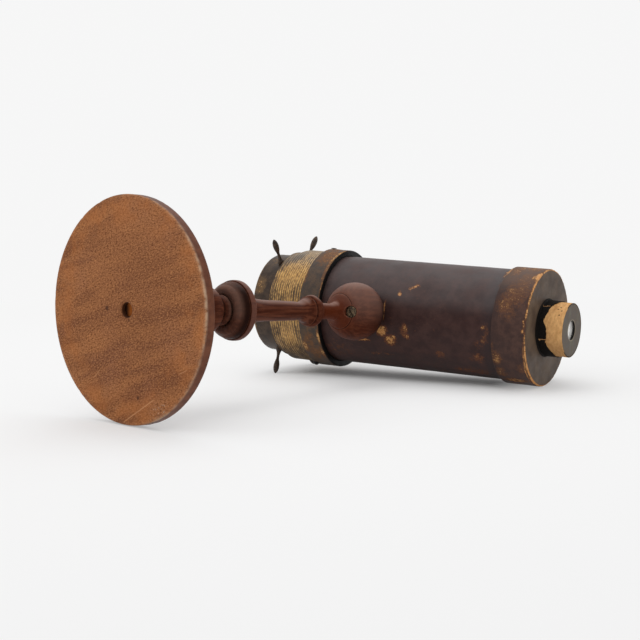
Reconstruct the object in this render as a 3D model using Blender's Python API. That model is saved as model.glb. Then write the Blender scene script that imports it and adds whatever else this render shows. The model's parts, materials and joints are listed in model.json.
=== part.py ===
"""A parlour kaleidoscope on a turned stand, lying on its side.

Metres, +Z up, floor at z = 0. The object lies as it was put down: on two spokes of its
object cell, on the rim of its eye-end cap and on the rim of its base.

Each assembly is modelled in a frame of its own, and empties place it:
barrel frame  X runs along the barrel from the object end to the eye end, x = 0 is over the
              stand's seat, and the stand is below, toward -Z
cell frame    the barrel frame turned about X, so that two spokes straddle the way down
stand frame   X runs up the pillar from the underside of the base
"""
from math import atan2, ceil, cos, degrees, pi, radians, sin, sqrt

import bmesh
import bpy
from mathutils import Matrix, Vector

# Clearances and tools, in metres
gap = 0.0003             # between two pieces that touch
overrun = 0.002          # how far a cutter runs past the face that it cuts
merge_distance = 1e-6    # between points that a spin leaves on top of each other

# Smoothness, as counts
barrel_segments = 40
base_segments = 60
pillar_segments = 28
small_segments = 16
spoke_segments = 8
bow_step_deg = 28        # how far a bowed stretch of an outline turns in one step
roll_halvings = 50       # of the span in which the rest roll is looked for
roll_span_deg = (-150, -45)

# Barrel: a pasteboard tube covered in leather
barrel_radius = 0.0381
cover_thickness = 0.0005
tube_wall = 0.0030
front_to_seat = 0.0934       # from the cell's front rim to the middle of the stand's seat
seat_to_cap_face = 0.1206    # from there to the face of the eye-end cap

# Object cell: a turned drum that spins in the mouth of the barrel
cell_inset = 0.0025          # from the leather's surface in to the drum's
cell_head_length = 0.0152
cell_neck_length = 0.0340
cell_wall = 0.0031
cell_neck_wall = 0.0030
cell_rim_round = 0.0008
cell_bezel_length = 0.0015
cell_bezel_width = 0.0026
ground_glass_thickness = 0.0016
clear_glass_thickness = 0.0016
cell_chamber_depth = 0.0086
cell_spacer_wall = 0.0016
groove_depth = 0.0014
groove_width = 0.0026

# Spokes that turn the cell, and how far each is bent toward the eye end
spoke_count = 6
spoke_length = 0.0207        # from the drum's side to the tip
spoke_from_head_back = 0.0023
spoke_boss_radius = 0.0022
spoke_grip_radius = 0.0021
spoke_shank_radius = 0.0010
spoke_shank_length = 0.0024
spoke_bends_deg = (-2, 0, 9, 9, 0, 7)

# A spoke's outline: shares of its length and of the boss's or the grip's radius
spoke_boss_shares = ((0, 1.00), (0.10, 1.00), (0.14, 0.86), (0.30, 0.46), (0.42, 0.46))
spoke_grip_shares = ((0.55, 0.80), (0.68, 1.00), (0.80, 0.99), (0.90, 0.74), (0.97, 0.30))

# Loose glass in the cell
chip_radius = 0.0035
chip_thickness = 0.0030
chip_lower_sides = (3, 6, 4, 5, 3)
chip_upper_sides = (6, 4, 3)

# Gilt band and collar on the object end of the barrel
band_length = 0.0270
band_thickness = 0.0029
band_round = 0.0013
collar_length = 0.0160
collar_thickness = 0.0041
collar_round = 0.0006
pin_from_collar_front = 0.0026
pin_turns_deg = (94, -110)   # about the barrel, one above and one below
pin_head_radius = 0.0021
pin_head_height = 0.0010
pin_dome_share = 0.8         # of the head's radius, half-way up it
pin_shank_radius = 0.0009

# Cap and eyepiece on the eye end of the barrel
cap_length = 0.0243
cap_wall = 0.0017
cap_face_thickness = 0.0025
cap_round = 0.0007
eyepiece_radius = 0.0191
eyepiece_length = 0.0174
eyepiece_paper_thickness = 0.0004
eyepiece_paper_length = 0.0086
eyepiece_bore_radius = 0.0085
spigot_radius = 0.0150
spigot_length = 0.0085
eye_disc_thickness = 0.0013
eye_lip_width = 0.0005       # of the card, around the disc
eye_hole_radius = 0.0066
lens_radius = 0.0108
lens_edge_thickness = 0.0016
lens_bulge = 0.0006
lens_dome_shares = (0.75, 0.50, 0.25)   # of the radius, where the dome's rings lie

# Mirrors, with their apex away from the stand
mirror_corner_inset = 0.0057    # from the plugs' rim in to the three inner corners
mirror_apex_deg = 45
mirror_thickness = 0.0022
board_thickness = 0.0020
mirror_to_cell = 0.0012
plug_length = 0.0055
plug_to_spigot = 0.0020

# Screw that holds the barrel to the stand, and the block that it bites
screw_offset = 0.0066        # from the middle of the seat toward the eye end
screw_head_radius = 0.0038
screw_head_height = 0.0028
screw_shank_radius = 0.0022
screw_length = 0.0440
screw_point_length = 0.0050
screw_sunk = 0.0013
slot_width = 0.0009
slot_depth = 0.0010
block_length = 0.0360
block_width = 0.0260

# Stand
base_width_along = 0.1422
base_width_across = 0.1340   # the disc has shrunk across its grain
base_grain_deg = -62.2       # how far the disc's wider way is turned about the pillar
base_rim_thickness = 0.0074
base_centre_thickness = 0.0125
base_flat_share = 0.5        # of the radius, inside which the top is flat
base_edge_round = 0.0009
base_hole_radius = 0.0043
tenon_recess = 0.0026
ball_height = 0.2007         # from the underside of the base to the ball's centre
ball_radius = 0.0199
seat_depth = 0.0133          # from the ball's centre to the flat that the barrel sits on
seat_lean_deg = 13.73        # between the pillar and the screw, along the barrel
seat_skew_deg = 1.87         # and across it, as the flat was cut a little off square
bead_radius = 0.0192
ball_arc_steps = 15
ball_line_deg = 38           # a fine line around the neck's root
ball_line_depth = 0.0003
ball_line_width = 0.0012

# The pillar's outline: shares of the ball's height and of the widest bead's radius, with the
# sideways bow of the stretch that leads to each point as a share of that stretch
pillar_outline_shares = (
    (0.100, 1.100, 0.28), (0.106, 0.900, 0), (0.200, 0.600, -0.16), (0.282, 0.730, -0.06),
    (0.323, 0.800, 0.10), (0.328, 0.760, 0), (0.337, 0.500, -0.10), (0.350, 0.500, 0),
    (0.354, 0.620, 0), (0.364, 0.620, 0.20), (0.370, 0.580, 0), (0.416, 0.950, 0.15),
    (0.422, 0.940, 0), (0.425, 0.985, 0), (0.438, 1.000, 0.12), (0.443, 0.960, 0),
    (0.462, 0.520, -0.14), (0.500, 0.450, 0), (0.600, 0.355, -0.03), (0.690, 0.320, 0),
    (0.735, 0.385, -0.08), (0.768, 0.520, -0.05), (0.773, 0.505, 0), (0.778, 0.530, 0),
    (0.793, 0.535, 0.20), (0.812, 0.400, 0.10), (0.826, 0.300, -0.05), (0.868, 0.275, 0),
    (0.892, 0.300, -0.05),
)
neck_root_share = 0.335      # where the neck meets the ball, in widest bead radii

# Places along the barrel
cell_front = -front_to_seat
cell_head_back = cell_front + cell_head_length
cell_neck_end = cell_head_back + cell_neck_length
band_front = cell_head_back + gap
collar_front = band_front + band_length + gap
collar_back = collar_front + collar_length
cap_face = seat_to_cap_face
cap_mouth = cap_face - cap_length
tube_end = cap_face - cap_face_thickness - gap
eye_face = cap_face + eyepiece_length
pin_station = collar_front + pin_from_collar_front
spoke_station = cell_head_back - spoke_from_head_back

# Radii that follow
tube_outer = barrel_radius - cover_thickness - gap
tube_inner = tube_outer - tube_wall
neck_outer = tube_inner - gap
neck_inner = neck_outer - cell_neck_wall
mirror_circle_radius = neck_outer - mirror_corner_inset
cell_radius = barrel_radius - cell_inset
cell_bore = cell_radius - cell_wall
band_radius = tube_outer + gap + band_thickness
collar_inner = barrel_radius + gap
collar_radius = collar_inner + collar_thickness
cap_inner = barrel_radius + gap
cap_radius = cap_inner + cap_wall
axis_to_ball = barrel_radius + gap + seat_depth


def clear_scene():
    for item in list(bpy.data.objects):
        bpy.data.objects.remove(item, do_unlink=True)


def material(name, colour, roughness, metallic=0.0):
    """A Principled material, made once for each name."""
    if name in bpy.data.materials:
        return bpy.data.materials[name]
    made = bpy.data.materials.new(name)
    made.use_nodes = True
    shader = made.node_tree.nodes["Principled BSDF"]
    shader.inputs["Base Color"].default_value = (*colour, 1.0)
    shader.inputs["Roughness"].default_value = roughness
    shader.inputs["Metallic"].default_value = metallic
    return made


stand_wood = material("stand_wood", (0.105, 0.045, 0.028), 0.35)
base_wood = material("base_wood", (0.26, 0.10, 0.042), 0.6)
leather = material("leather", (0.065, 0.042, 0.045), 0.6)
gilt = material("gilt", (0.40, 0.24, 0.07), 0.45, 0.6)
collar_leather = material("collar_leather", (0.075, 0.050, 0.040), 0.6)
cell_black = material("cell_black", (0.060, 0.050, 0.042), 0.5)
spoke_metal = material("spoke_metal", (0.045, 0.035, 0.030), 0.45, 0.5)
pasteboard = material("pasteboard", (0.42, 0.27, 0.13), 0.85)
black_paper = material("black_paper", (0.012, 0.011, 0.010), 0.7)
eye_metal = material("eye_metal", (0.12, 0.10, 0.085), 0.5, 0.6)
clear_glass = material("clear_glass", (0.85, 0.90, 0.88), 0.05)
ground_glass = material("ground_glass", (0.80, 0.84, 0.82), 0.6)
mirror_glass = material("mirror_glass", (0.85, 0.86, 0.86), 0.04, 1.0)
screw_iron = material("screw_iron", (0.055, 0.050, 0.042), 0.6, 0.7)
block_wood = material("block_wood", (0.45, 0.28, 0.14), 0.7)
chip_colours = ((0.55, 0.02, 0.03), (0.02, 0.10, 0.50), (0.70, 0.38, 0.02), (0.02, 0.30, 0.09),
                (0.30, 0.04, 0.35), (0.03, 0.35, 0.45), (0.65, 0.12, 0.02), (0.70, 0.65, 0.55))


def finish(name, mesh_builder, parent, look, place=Matrix.Identity(4), smooth_deg=35):
    """Turns a bmesh into a named object under its parent empty."""
    mesh = bpy.data.meshes.new(name)
    bmesh.ops.recalc_face_normals(mesh_builder, faces=mesh_builder.faces)
    mesh_builder.to_mesh(mesh)
    mesh_builder.free()
    mesh.shade_smooth()
    mesh.set_sharp_from_angle(angle=radians(smooth_deg))
    mesh.materials.append(look)
    made = bpy.data.objects.new(name, mesh)
    bpy.context.collection.objects.link(made)
    made.parent = parent
    made.matrix_local = place
    return made


def turned(name, outline, parent, look, segments=barrel_segments, hollow=True,
           place=Matrix.Identity(4)):
    """Spins an outline of (place along X, radius) about X. A hollow one closes on itself."""
    turning = bmesh.new()
    points = [turning.verts.new((x, 0, radius)) for x, radius in outline]
    ends = points[1:] + points[:1] if hollow else points[1:]
    lines = [turning.edges.new(pair) for pair in zip(points, ends)]
    bmesh.ops.spin(turning, geom=points + lines, cent=(0, 0, 0), axis=(1, 0, 0),
                   angle=2 * pi, steps=segments, use_merge=True)
    bmesh.ops.remove_doubles(turning, verts=turning.verts, dist=merge_distance)
    return finish(name, turning, parent, look, place)


def box(name, low, high, parent, look, place=Matrix.Identity(4)):
    """A block between two corners."""
    made = bmesh.new()
    bmesh.ops.create_cube(made, size=1)
    middle = (Vector(low) + Vector(high)) / 2
    sides = Vector(high) - Vector(low)
    bmesh.ops.scale(made, vec=sides, verts=made.verts)
    bmesh.ops.translate(made, vec=middle, verts=made.verts)
    return finish(name, made, parent, look, place)


def prism(name, corners, low, high, parent, look, place=Matrix.Identity(4)):
    """Extrudes a polygon of (y, z) corners along X."""
    made = bmesh.new()
    face = made.faces.new([made.verts.new((low, y, z)) for y, z in corners])
    grown = bmesh.ops.extrude_face_region(made, geom=[face])
    moved = [item for item in grown["geom"] if isinstance(item, bmesh.types.BMVert)]
    bmesh.ops.translate(made, vec=(high - low, 0, 0), verts=moved)
    return finish(name, made, parent, look, place)


def cut(target, cutter, operation="DIFFERENCE"):
    """Applies a cutter, which stays in the file as a hidden guide."""
    cutter.hide_render = True
    cutter.display_type = "WIRE"
    boolean = target.modifiers.new("cut by " + cutter.name, "BOOLEAN")
    boolean.operation = operation
    boolean.solver = "EXACT"
    boolean.object = cutter


def bowed(rows, scale_x, scale_r):
    """Points of an outline of shares. A bowed stretch follows a parabola."""
    points = [(rows[0][0] * scale_x, rows[0][1] * scale_r)]
    for x_share, r_share, bow in rows[1:]:
        x0, r0 = points[-1]
        x1, r1 = x_share * scale_x, r_share * scale_r
        turned_by = degrees(8 * abs(bow))
        steps = 1 if bow == 0 else max(2, ceil(turned_by / bow_step_deg))
        for step in range(1, steps + 1):
            share = step / steps
            lift = 4 * bow * share * (1 - share)
            points.append((x0 + (x1 - x0) * share - (r1 - r0) * lift,
                           r0 + (r1 - r0) * share + (x1 - x0) * lift))
    return points


def rounded(outline, corners, radius, steps=3):
    """Rounds the corners of an outline whose indexes are given, by the same radius."""
    made = []
    count = len(outline)
    for index, (x, r) in enumerate(outline):
        if index not in corners:
            made.append((x, r))
            continue
        here = Vector((x, r))
        before = (Vector(outline[index - 1]) - here).normalized() * radius
        after = (Vector(outline[(index + 1) % count]) - here).normalized() * radius
        for step in range(steps + 1):
            turn = pi / 2 * step / steps
            point = here + before * (1 - sin(turn)) + after * (1 - cos(turn))
            made.append((point.x, point.y))
    return made


def ring_outline(low, high, inner, outer):
    """A ring's four corners: inner front, outer front, outer back, inner back."""
    return [(low, inner), (low, outer), (high, outer), (high, inner)]


def radial_place(station, angle, distance=0.0):
    """Stands a piece on the barrel's side: its X then points away from the axis.

    The angle is counted about X from the way up, +Z, toward -Y."""
    return (Matrix.Rotation(angle, 4, "X") @ Matrix.Translation((station, 0, distance))
            @ Matrix.Rotation(-pi / 2, 4, "Y"))


def empty(name, parent, place):
    made = bpy.data.objects.new(name, None)
    made.empty_display_size = barrel_radius
    bpy.context.collection.objects.link(made)
    made.parent = parent
    made.matrix_local = place
    return made


def stand_matrix():
    """From the stand frame to the barrel frame."""
    lean = Matrix.Rotation(radians(seat_lean_deg) - pi / 2, 4, "Y")
    skew = Matrix.Rotation(radians(seat_skew_deg), 4, "X")
    return (Matrix.Translation((0, 0, -axis_to_ball)) @ skew @ lean
            @ Matrix.Translation((-ball_height, 0, 0)))


def base_point(turn, station):
    """A point of the base's oval rim in the stand frame."""
    grain = radians(base_grain_deg)
    along = cos(turn) * base_width_along / 2
    across = sin(turn) * base_width_across / 2
    return Vector((station, along * cos(grain) - across * sin(grain),
                   along * sin(grain) + across * cos(grain)))


def rest_tilt():
    """How far the eye end hangs below level, with two spokes and the cap's rim on the floor."""
    spread = pi / spoke_count
    bend = radians(spoke_bends_deg[2])
    tip_height = (cell_radius + gap + spoke_length * cos(bend)) * cos(spread)
    tip_station = spoke_station + spoke_length * sin(bend)
    return atan2(tip_height - cap_radius, cap_face - tip_station)


def rest_matrix():
    """Lays the barrel frame on the floor, rolled until the base's rim touches it."""
    tilt = rest_tilt()
    height = cap_radius * cos(tilt) + cap_face * sin(tilt)
    tilted = Matrix.Translation((0, 0, height)) @ Matrix.Rotation(tilt, 4, "Y")

    def rim_height(roll):
        place = tilted @ Matrix.Rotation(roll, 4, "X") @ stand_matrix()
        turns = [2 * pi * step / base_segments for step in range(base_segments)]
        stations = (base_edge_round, base_rim_thickness - base_edge_round)
        return min((place @ base_point(turn, station)).z for turn in turns for station in stations)

    high_roll, low_roll = (radians(limit) for limit in roll_span_deg)
    for _ in range(roll_halvings):
        middle = (high_roll + low_roll) / 2
        if rim_height(middle) > 0:
            high_roll = middle
        else:
            low_roll = middle
    return tilted, (high_roll + low_roll) / 2


def build_stand(stand):
    grain = Matrix.Rotation(radians(base_grain_deg), 4, "X")
    rim = base_width_along / 2
    outline = rounded([(0, base_hole_radius), (0, rim), (base_rim_thickness, rim),
                       (base_centre_thickness, rim * base_flat_share),
                       (base_centre_thickness, base_hole_radius)],
                      (1, 2), base_edge_round)
    base = turned("base_disc", outline, stand, base_wood, base_segments, place=grain)
    shrink = Matrix.Diagonal((1, 1, base_width_across / base_width_along, 1))
    base.data.transform(shrink)

    shaft_foot = base_centre_thickness + gap
    tenon_radius = base_hole_radius - gap
    foot = (shaft_foot / ball_height, pillar_outline_shares[0][1], 0)
    outline = [(tenon_recess, 0), (tenon_recess, tenon_radius), (shaft_foot, tenon_radius)]
    outline += bowed((foot,) + pillar_outline_shares, ball_height, bead_radius)
    root = atan2(neck_root_share * bead_radius,
                 sqrt(ball_radius ** 2 - (neck_root_share * bead_radius) ** 2))
    line = radians(ball_line_deg)
    line_half = ball_line_width / 2 / ball_radius
    turns = [root + (pi - root) * step / ball_arc_steps for step in range(ball_arc_steps)]
    turns = [turn for turn in turns if abs(turn - line) > 2 * line_half]
    ball = [(turn, ball_radius) for turn in turns]
    ball += [(line - line_half, ball_radius), (line, ball_radius - ball_line_depth),
             (line + line_half, ball_radius)]
    outline += [(ball_height - radius * cos(turn), radius * sin(turn))
                for turn, radius in sorted(ball)]
    outline.append((ball_height + ball_radius, 0))
    pillar = turned("pillar", outline, stand, stand_wood, pillar_segments, hollow=False)

    to_barrel = stand_matrix()
    seat_cut = box("seat_cutter", (-ball_radius - overrun, -ball_radius - overrun, 0),
                   (ball_radius + overrun, ball_radius + overrun, ball_radius + overrun),
                   stand, stand_wood,
                   to_barrel.inverted() @ Matrix.Translation((0, 0, -barrel_radius - gap)))
    cut(pillar, seat_cut)
    hole = screw_outline(gap, overrun)
    screw_cut = turned("screw_cutter", hole, stand, stand_wood, small_segments, hollow=False,
                       place=to_barrel.inverted() @ screw_matrix())
    cut(pillar, screw_cut)


def screw_matrix():
    """The screw's frame in the barrel frame: X runs from the head to the point."""
    surface = sqrt(ball_radius ** 2 - screw_offset ** 2)
    head = -axis_to_ball - surface + screw_sunk
    return Matrix.Translation((screw_offset, 0, head)) @ Matrix.Rotation(-pi / 2, 4, "Y")


def screw_outline(clearance, run_out):
    """A countersunk screw, or with a clearance and a run out the hole that it goes through."""
    head = screw_head_radius + clearance
    shank = screw_shank_radius + clearance
    outline = [(-run_out, 0), (-run_out, head), (clearance, head),
               (screw_head_height + clearance, shank)]
    if run_out:
        return outline + [(ball_radius * 2, shank), (ball_radius * 2, 0)]
    return outline + [(screw_length - screw_point_length, shank), (screw_length, 0)]


def radial_hole(name, target, parent, place, radius, low, high):
    """Cuts a round hole through a wall, along the piece frame's X."""
    outline = [(low, 0), (low, radius), (high, radius), (high, 0)]
    cutter = turned(name, outline, parent, pasteboard, small_segments, hollow=False, place=place)
    cut(target, cutter)


def build_barrel(barrel):
    tube = turned("barrel_tube", ring_outline(band_front, tube_end, tube_inner, tube_outer),
                  barrel, pasteboard)
    cover_inner = tube_outer + gap
    cover = turned("barrel_cover", ring_outline(collar_front, tube_end, cover_inner, barrel_radius),
                   barrel, leather)
    band = rounded(ring_outline(band_front, band_front + band_length, cover_inner, band_radius),
                   (1,), band_round)
    turned("gilt_band", band, barrel, gilt)
    collar = rounded(ring_outline(collar_front, collar_back, collar_inner, collar_radius),
                     (1, 2), collar_round, 2)
    collar = turned("collar", collar, barrel, collar_leather)

    shank_end = collar_radius + gap - (neck_outer - groove_depth + gap)
    outline = [(-shank_end, 0), (-shank_end, pin_shank_radius), (0, pin_shank_radius),
               (0, pin_head_radius), (pin_head_height / 2, pin_head_radius * pin_dome_share),
               (pin_head_height, 0)]
    for name, turn_deg in zip(("collar_pin", "collar_pin_lower"), pin_turns_deg):
        pin_place = radial_place(pin_station, radians(turn_deg), collar_radius + gap)
        turned(name, outline, barrel, collar_leather, small_segments, False, pin_place)
        for target in (tube, cover, collar):
            radial_hole(target.name + "_" + name + "_cutter", target, barrel, pin_place,
                        pin_shank_radius + gap, -shank_end, overrun)

    cap = [(cap_mouth, cap_inner), (cap_mouth, cap_radius), (cap_face, cap_radius),
           (cap_face, spigot_radius + gap), (cap_face - cap_face_thickness, spigot_radius + gap),
           (cap_face - cap_face_thickness, cap_inner)]
    turned("eye_cap", rounded(cap, (1, 2), cap_round, 2), barrel, leather)

    build_screw(barrel, tube, cover)
    build_eyepiece(barrel)
    build_mirrors(barrel)


def build_screw(barrel, tube, cover):
    place = screw_matrix()
    screw = turned("barrel_screw", screw_outline(0, 0), barrel, screw_iron, small_segments,
                   hollow=False, place=place)
    slot = box("slot_cutter", (-overrun, -slot_width / 2, -screw_head_radius - overrun),
               (slot_depth, slot_width / 2, screw_head_radius + overrun), barrel, screw_iron, place)
    cut(screw, slot)
    radius = screw_shank_radius + gap
    for target in (tube, cover):
        radial_hole(target.name + "_screw_cutter", target, barrel, place, radius,
                    ball_radius, screw_length + overrun)

    board_back = mirror_circle_radius * cos(radians(mirror_apex_deg)) + board_thickness + 2 * gap
    block = box("screw_block", (screw_offset - block_length / 2, -block_width / 2, -barrel_radius),
                (screw_offset + block_length / 2, block_width / 2, -board_back), barrel, block_wood)
    outline = [(-front_to_seat, 0), (-front_to_seat, neck_outer), (cap_face, neck_outer),
               (cap_face, 0)]
    round_cut = turned("block_cutter", outline, barrel, block_wood, hollow=False)
    cut(block, round_cut, "INTERSECT")
    radial_hole("block_screw_cutter", block, barrel, place, radius, ball_radius,
                screw_length + gap)


def build_eyepiece(barrel):
    disc_back = eye_face - eye_disc_thickness
    card_front = disc_back - gap
    lens_seat = card_front - lens_edge_thickness - lens_bulge - gap
    card_radius = eyepiece_radius - eyepiece_paper_thickness - gap
    disc_radius = card_radius - eye_lip_width - gap
    card = [(cap_face - spigot_length, eyepiece_bore_radius), (cap_face - spigot_length, spigot_radius),
            (cap_face + gap, spigot_radius), (cap_face + gap, card_radius),
            (eye_face, card_radius), (eye_face, disc_radius + gap),
            (card_front, disc_radius + gap), (card_front, lens_radius + gap),
            (lens_seat, lens_radius + gap), (lens_seat, eyepiece_bore_radius)]
    turned("eyepiece_card", card, barrel, pasteboard)
    turned("eyepiece_paper",
           ring_outline(cap_face + gap, cap_face + gap + eyepiece_paper_length,
                        card_radius + gap, eyepiece_radius), barrel, black_paper)
    turned("eye_disc", ring_outline(disc_back, eye_face, eye_hole_radius, disc_radius),
           barrel, eye_metal)
    lens_back = lens_seat + gap
    middle = lens_back + lens_edge_thickness
    outline = [(lens_back, 0), (lens_back, lens_radius), (middle, lens_radius)]
    outline += [(middle + lens_bulge * (1 - share ** 2) * (1 - gap / lens_bulge), lens_radius * share)
                for share in lens_dome_shares]
    outline.append((middle + lens_bulge - gap, 0))
    turned("eye_lens", outline, barrel, clear_glass, hollow=False)


def build_mirrors(barrel):
    apex = radians(mirror_apex_deg)
    turns = (pi / 2, -pi / 2 - apex, -pi / 2 + apex)
    corners = [Vector((cos(turn), sin(turn))) * mirror_circle_radius for turn in turns]
    low = cell_head_back + mirror_to_cell
    high = cap_face - spigot_length - plug_to_spigot
    outer = []
    pieces = (("mirror_left", 0, 1, mirror_thickness, mirror_glass),
              ("blackened_board", 1, 2, board_thickness, black_paper),
              ("mirror_right", 2, 0, mirror_thickness, mirror_glass))
    for name, first, last, thickness, look in pieces:
        along = (corners[last] - corners[first]).normalized()
        outward = Vector((along.y, -along.x))
        if outward.dot(corners[first] + corners[last]) < 0:
            outward = -outward
        start = corners[first] + along * gap + outward * gap
        end = corners[last] - along * gap + outward * gap
        strip = [start, end, end + outward * thickness, start + outward * thickness]
        outer += [strip[3], strip[2]]
        prism(name, strip, low, high, barrel, look)
    for name, front in (("front_plug", cell_neck_end + gap), ("eye_plug", high - plug_length)):
        plug = turned(name, [(front, 0), (front, neck_outer), (front + plug_length, neck_outer),
                             (front + plug_length, 0)], barrel, pasteboard, hollow=False)
        hull = [point + point.normalized() * 2 * gap for point in outer]
        opening = prism(name + "_cutter", hull, front - overrun, front + plug_length + overrun,
                        barrel, pasteboard)
        cut(plug, opening)


def build_cell(cell):
    neck_end = cell_neck_end - gap
    clear_back = cell_head_back - gap
    clear_front = clear_back - clear_glass_thickness
    spacer_back = clear_front - gap
    spacer_front = spacer_back - cell_chamber_depth
    ground_back = spacer_front - gap
    ground_front = ground_back - ground_glass_thickness
    bezel_back = ground_front - gap
    drum = [(cell_front, cell_bore), (cell_front, cell_radius), (cell_head_back, cell_radius),
            (cell_head_back, neck_outer), (pin_station - groove_width / 2, neck_outer),
            (pin_station - groove_width / 2, neck_outer - groove_depth),
            (pin_station + groove_width / 2, neck_outer - groove_depth),
            (pin_station + groove_width / 2, neck_outer), (neck_end, neck_outer),
            (neck_end, neck_inner), (cell_head_back, neck_inner), (cell_head_back, cell_bore)]
    drum = turned("cell_drum", rounded(drum, (1,), cell_rim_round, 2), cell, cell_black)
    glass_radius = cell_bore - gap
    turned("clear_glass", [(clear_front, 0), (clear_front, glass_radius),
                           (clear_back, glass_radius), (clear_back, 0)], cell, clear_glass,
           hollow=False)
    turned("cell_spacer", ring_outline(spacer_front, spacer_back, glass_radius - cell_spacer_wall,
                                       glass_radius), cell, pasteboard)
    turned("ground_glass", [(ground_front, 0), (ground_front, glass_radius),
                            (ground_back, glass_radius), (ground_back, 0)], cell, ground_glass,
           hollow=False)
    turned("cell_bezel", ring_outline(bezel_back - cell_bezel_length, bezel_back,
                                      glass_radius - cell_bezel_width, glass_radius),
           cell, cell_black)
    for number in range(spoke_count):
        build_spoke(number, drum, cell)
    middle = (spacer_front + spacer_back) / 2
    build_chips(cell, middle, glass_radius - cell_spacer_wall)


def build_spoke(number, drum, cell):
    """A turned spoke: boss, thin neck, swollen grip with a point. Its shank is in the drum."""
    angle = 2 * pi * (number + 0.5) / spoke_count
    place = radial_place(spoke_station, angle, cell_radius + gap)
    bend = Matrix.Rotation(radians(spoke_bends_deg[number]), 4, "Y")
    outline = [(-spoke_shank_length, 0), (-spoke_shank_length, spoke_shank_radius),
               (0, spoke_shank_radius)]
    for shares, widest in ((spoke_boss_shares, spoke_boss_radius),
                           (spoke_grip_shares, spoke_grip_radius)):
        outline += [(spoke_length * x_share, widest * r_share) for x_share, r_share in shares]
    outline.append((spoke_length, 0))
    spoke = turned("spoke_%d" % (number + 1), outline, cell, spoke_metal, spoke_segments,
                   hollow=False, place=place)
    for vertex in spoke.data.vertices:
        if vertex.co.x > 0:
            vertex.co = bend @ vertex.co
    radial_hole("drum_spoke_cutter_%d" % (number + 1), drum, cell, place,
                spoke_shank_radius + gap, -spoke_shank_length - gap, overrun)


def build_chips(cell, middle, wall):
    """Loose coloured glass, heaped where the cell's side is lowest."""
    sunk = wall - sqrt(wall ** 2 - chip_radius ** 2)
    lower = wall - gap - sunk
    pitch = 2 * (chip_radius + gap) / (lower - chip_thickness)
    upper = (lower - chip_thickness) * cos(pitch / 2) - gap
    number = 0
    for sides_row, outer in ((chip_lower_sides, lower), (chip_upper_sides, upper)):
        for index, sides in enumerate(sides_row):
            turn = pi + pitch * (index - (len(sides_row) - 1) / 2)
            outline = [(outer - chip_thickness, 0), (outer - chip_thickness, chip_radius),
                       (outer, chip_radius), (outer, 0)]
            number += 1
            colour = chip_colours[number - 1]
            look = material("glass_%d" % number, colour, 0.05)
            turned("glass_chip_%d" % number, outline, cell, look, sides, hollow=False,
                   place=radial_place(middle, turn))


def settle_on_floor(table):
    """Moves the whole object so that its box is centred over the origin and stands on z = 0."""
    bpy.context.view_layer.update()
    solids = [item for item in bpy.data.objects if item.type == "MESH" and not item.hide_render]
    points = [item.matrix_world @ vertex.co for item in solids for vertex in item.data.vertices]
    low = Vector([min(point[axis] for point in points) for axis in range(3)])
    high = Vector([max(point[axis] for point in points) for axis in range(3)])
    middle = (low + high) / 2
    shift = Matrix.Translation((-middle.x, -middle.y, -low.z))
    table.matrix_local = shift @ table.matrix_local
    bpy.context.view_layer.update()


def build():
    clear_scene()
    tilted, roll = rest_matrix()
    table = empty("table_frame", None, tilted)
    barrel = empty("barrel_frame", table, Matrix.Rotation(roll, 4, "X"))
    stand = empty("stand_frame", barrel, stand_matrix())
    swivel = empty("swivel_axis", barrel, screw_matrix())
    cell = empty("cell_axis", table, Matrix.Identity(4))
    build_stand(stand)
    build_barrel(barrel)
    build_cell(cell)
    settle_on_floor(table)
    for axis in (swivel, cell, stand, barrel):
        print(axis.name, [round(value, 6) for value in axis.matrix_world.translation],
              "X axis", [round(value, 6) for value in axis.matrix_world.col[0].xyz],
              "Z axis", [round(value, 6) for value in axis.matrix_world.col[2].xyz])


build()
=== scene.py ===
# %% [markdown]
# A parlour kaleidoscope lies on its side on a pale table. Its barrel is a pasteboard tube in dark
# leather, with a gilt band, a spoked cell that spins, and an eyepiece. A turned stand holds it
# by one screw. This lesson dresses the solid model of it. Every visible piece is turned, torn
# or worn again with a finer mesh, in the place that its plain solid has, and then gets a finish.

# %% The frame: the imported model, which nothing here moves
import json
from math import atan2, cos, pi, radians, sin, sqrt

import bmesh
import bpy
import numpy as np
from mathutils import Euler, Matrix, Vector, noise


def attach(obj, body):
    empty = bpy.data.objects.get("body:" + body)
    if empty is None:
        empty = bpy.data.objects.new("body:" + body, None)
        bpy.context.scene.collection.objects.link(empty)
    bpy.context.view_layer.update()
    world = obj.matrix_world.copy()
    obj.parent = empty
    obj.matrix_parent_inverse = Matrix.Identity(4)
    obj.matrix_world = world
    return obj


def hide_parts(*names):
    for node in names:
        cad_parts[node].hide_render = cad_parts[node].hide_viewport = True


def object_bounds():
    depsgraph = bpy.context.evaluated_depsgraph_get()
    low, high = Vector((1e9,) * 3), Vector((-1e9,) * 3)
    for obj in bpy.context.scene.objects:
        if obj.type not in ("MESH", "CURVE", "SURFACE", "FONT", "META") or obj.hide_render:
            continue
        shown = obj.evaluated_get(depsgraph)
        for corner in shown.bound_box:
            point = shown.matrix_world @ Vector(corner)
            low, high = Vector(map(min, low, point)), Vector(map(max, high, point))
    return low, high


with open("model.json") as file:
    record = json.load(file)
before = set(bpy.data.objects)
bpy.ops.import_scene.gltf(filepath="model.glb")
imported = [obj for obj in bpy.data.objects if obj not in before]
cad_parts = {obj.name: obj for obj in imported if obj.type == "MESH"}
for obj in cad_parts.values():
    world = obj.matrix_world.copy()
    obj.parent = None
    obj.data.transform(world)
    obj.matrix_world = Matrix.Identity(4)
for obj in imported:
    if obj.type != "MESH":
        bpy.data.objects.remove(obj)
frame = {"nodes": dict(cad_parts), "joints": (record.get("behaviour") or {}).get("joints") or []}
cad_low, cad_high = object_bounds()
print("CAD box in mm:", [round((high - low) * 1000, 1) for low, high in zip(cad_low, cad_high)])

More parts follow.
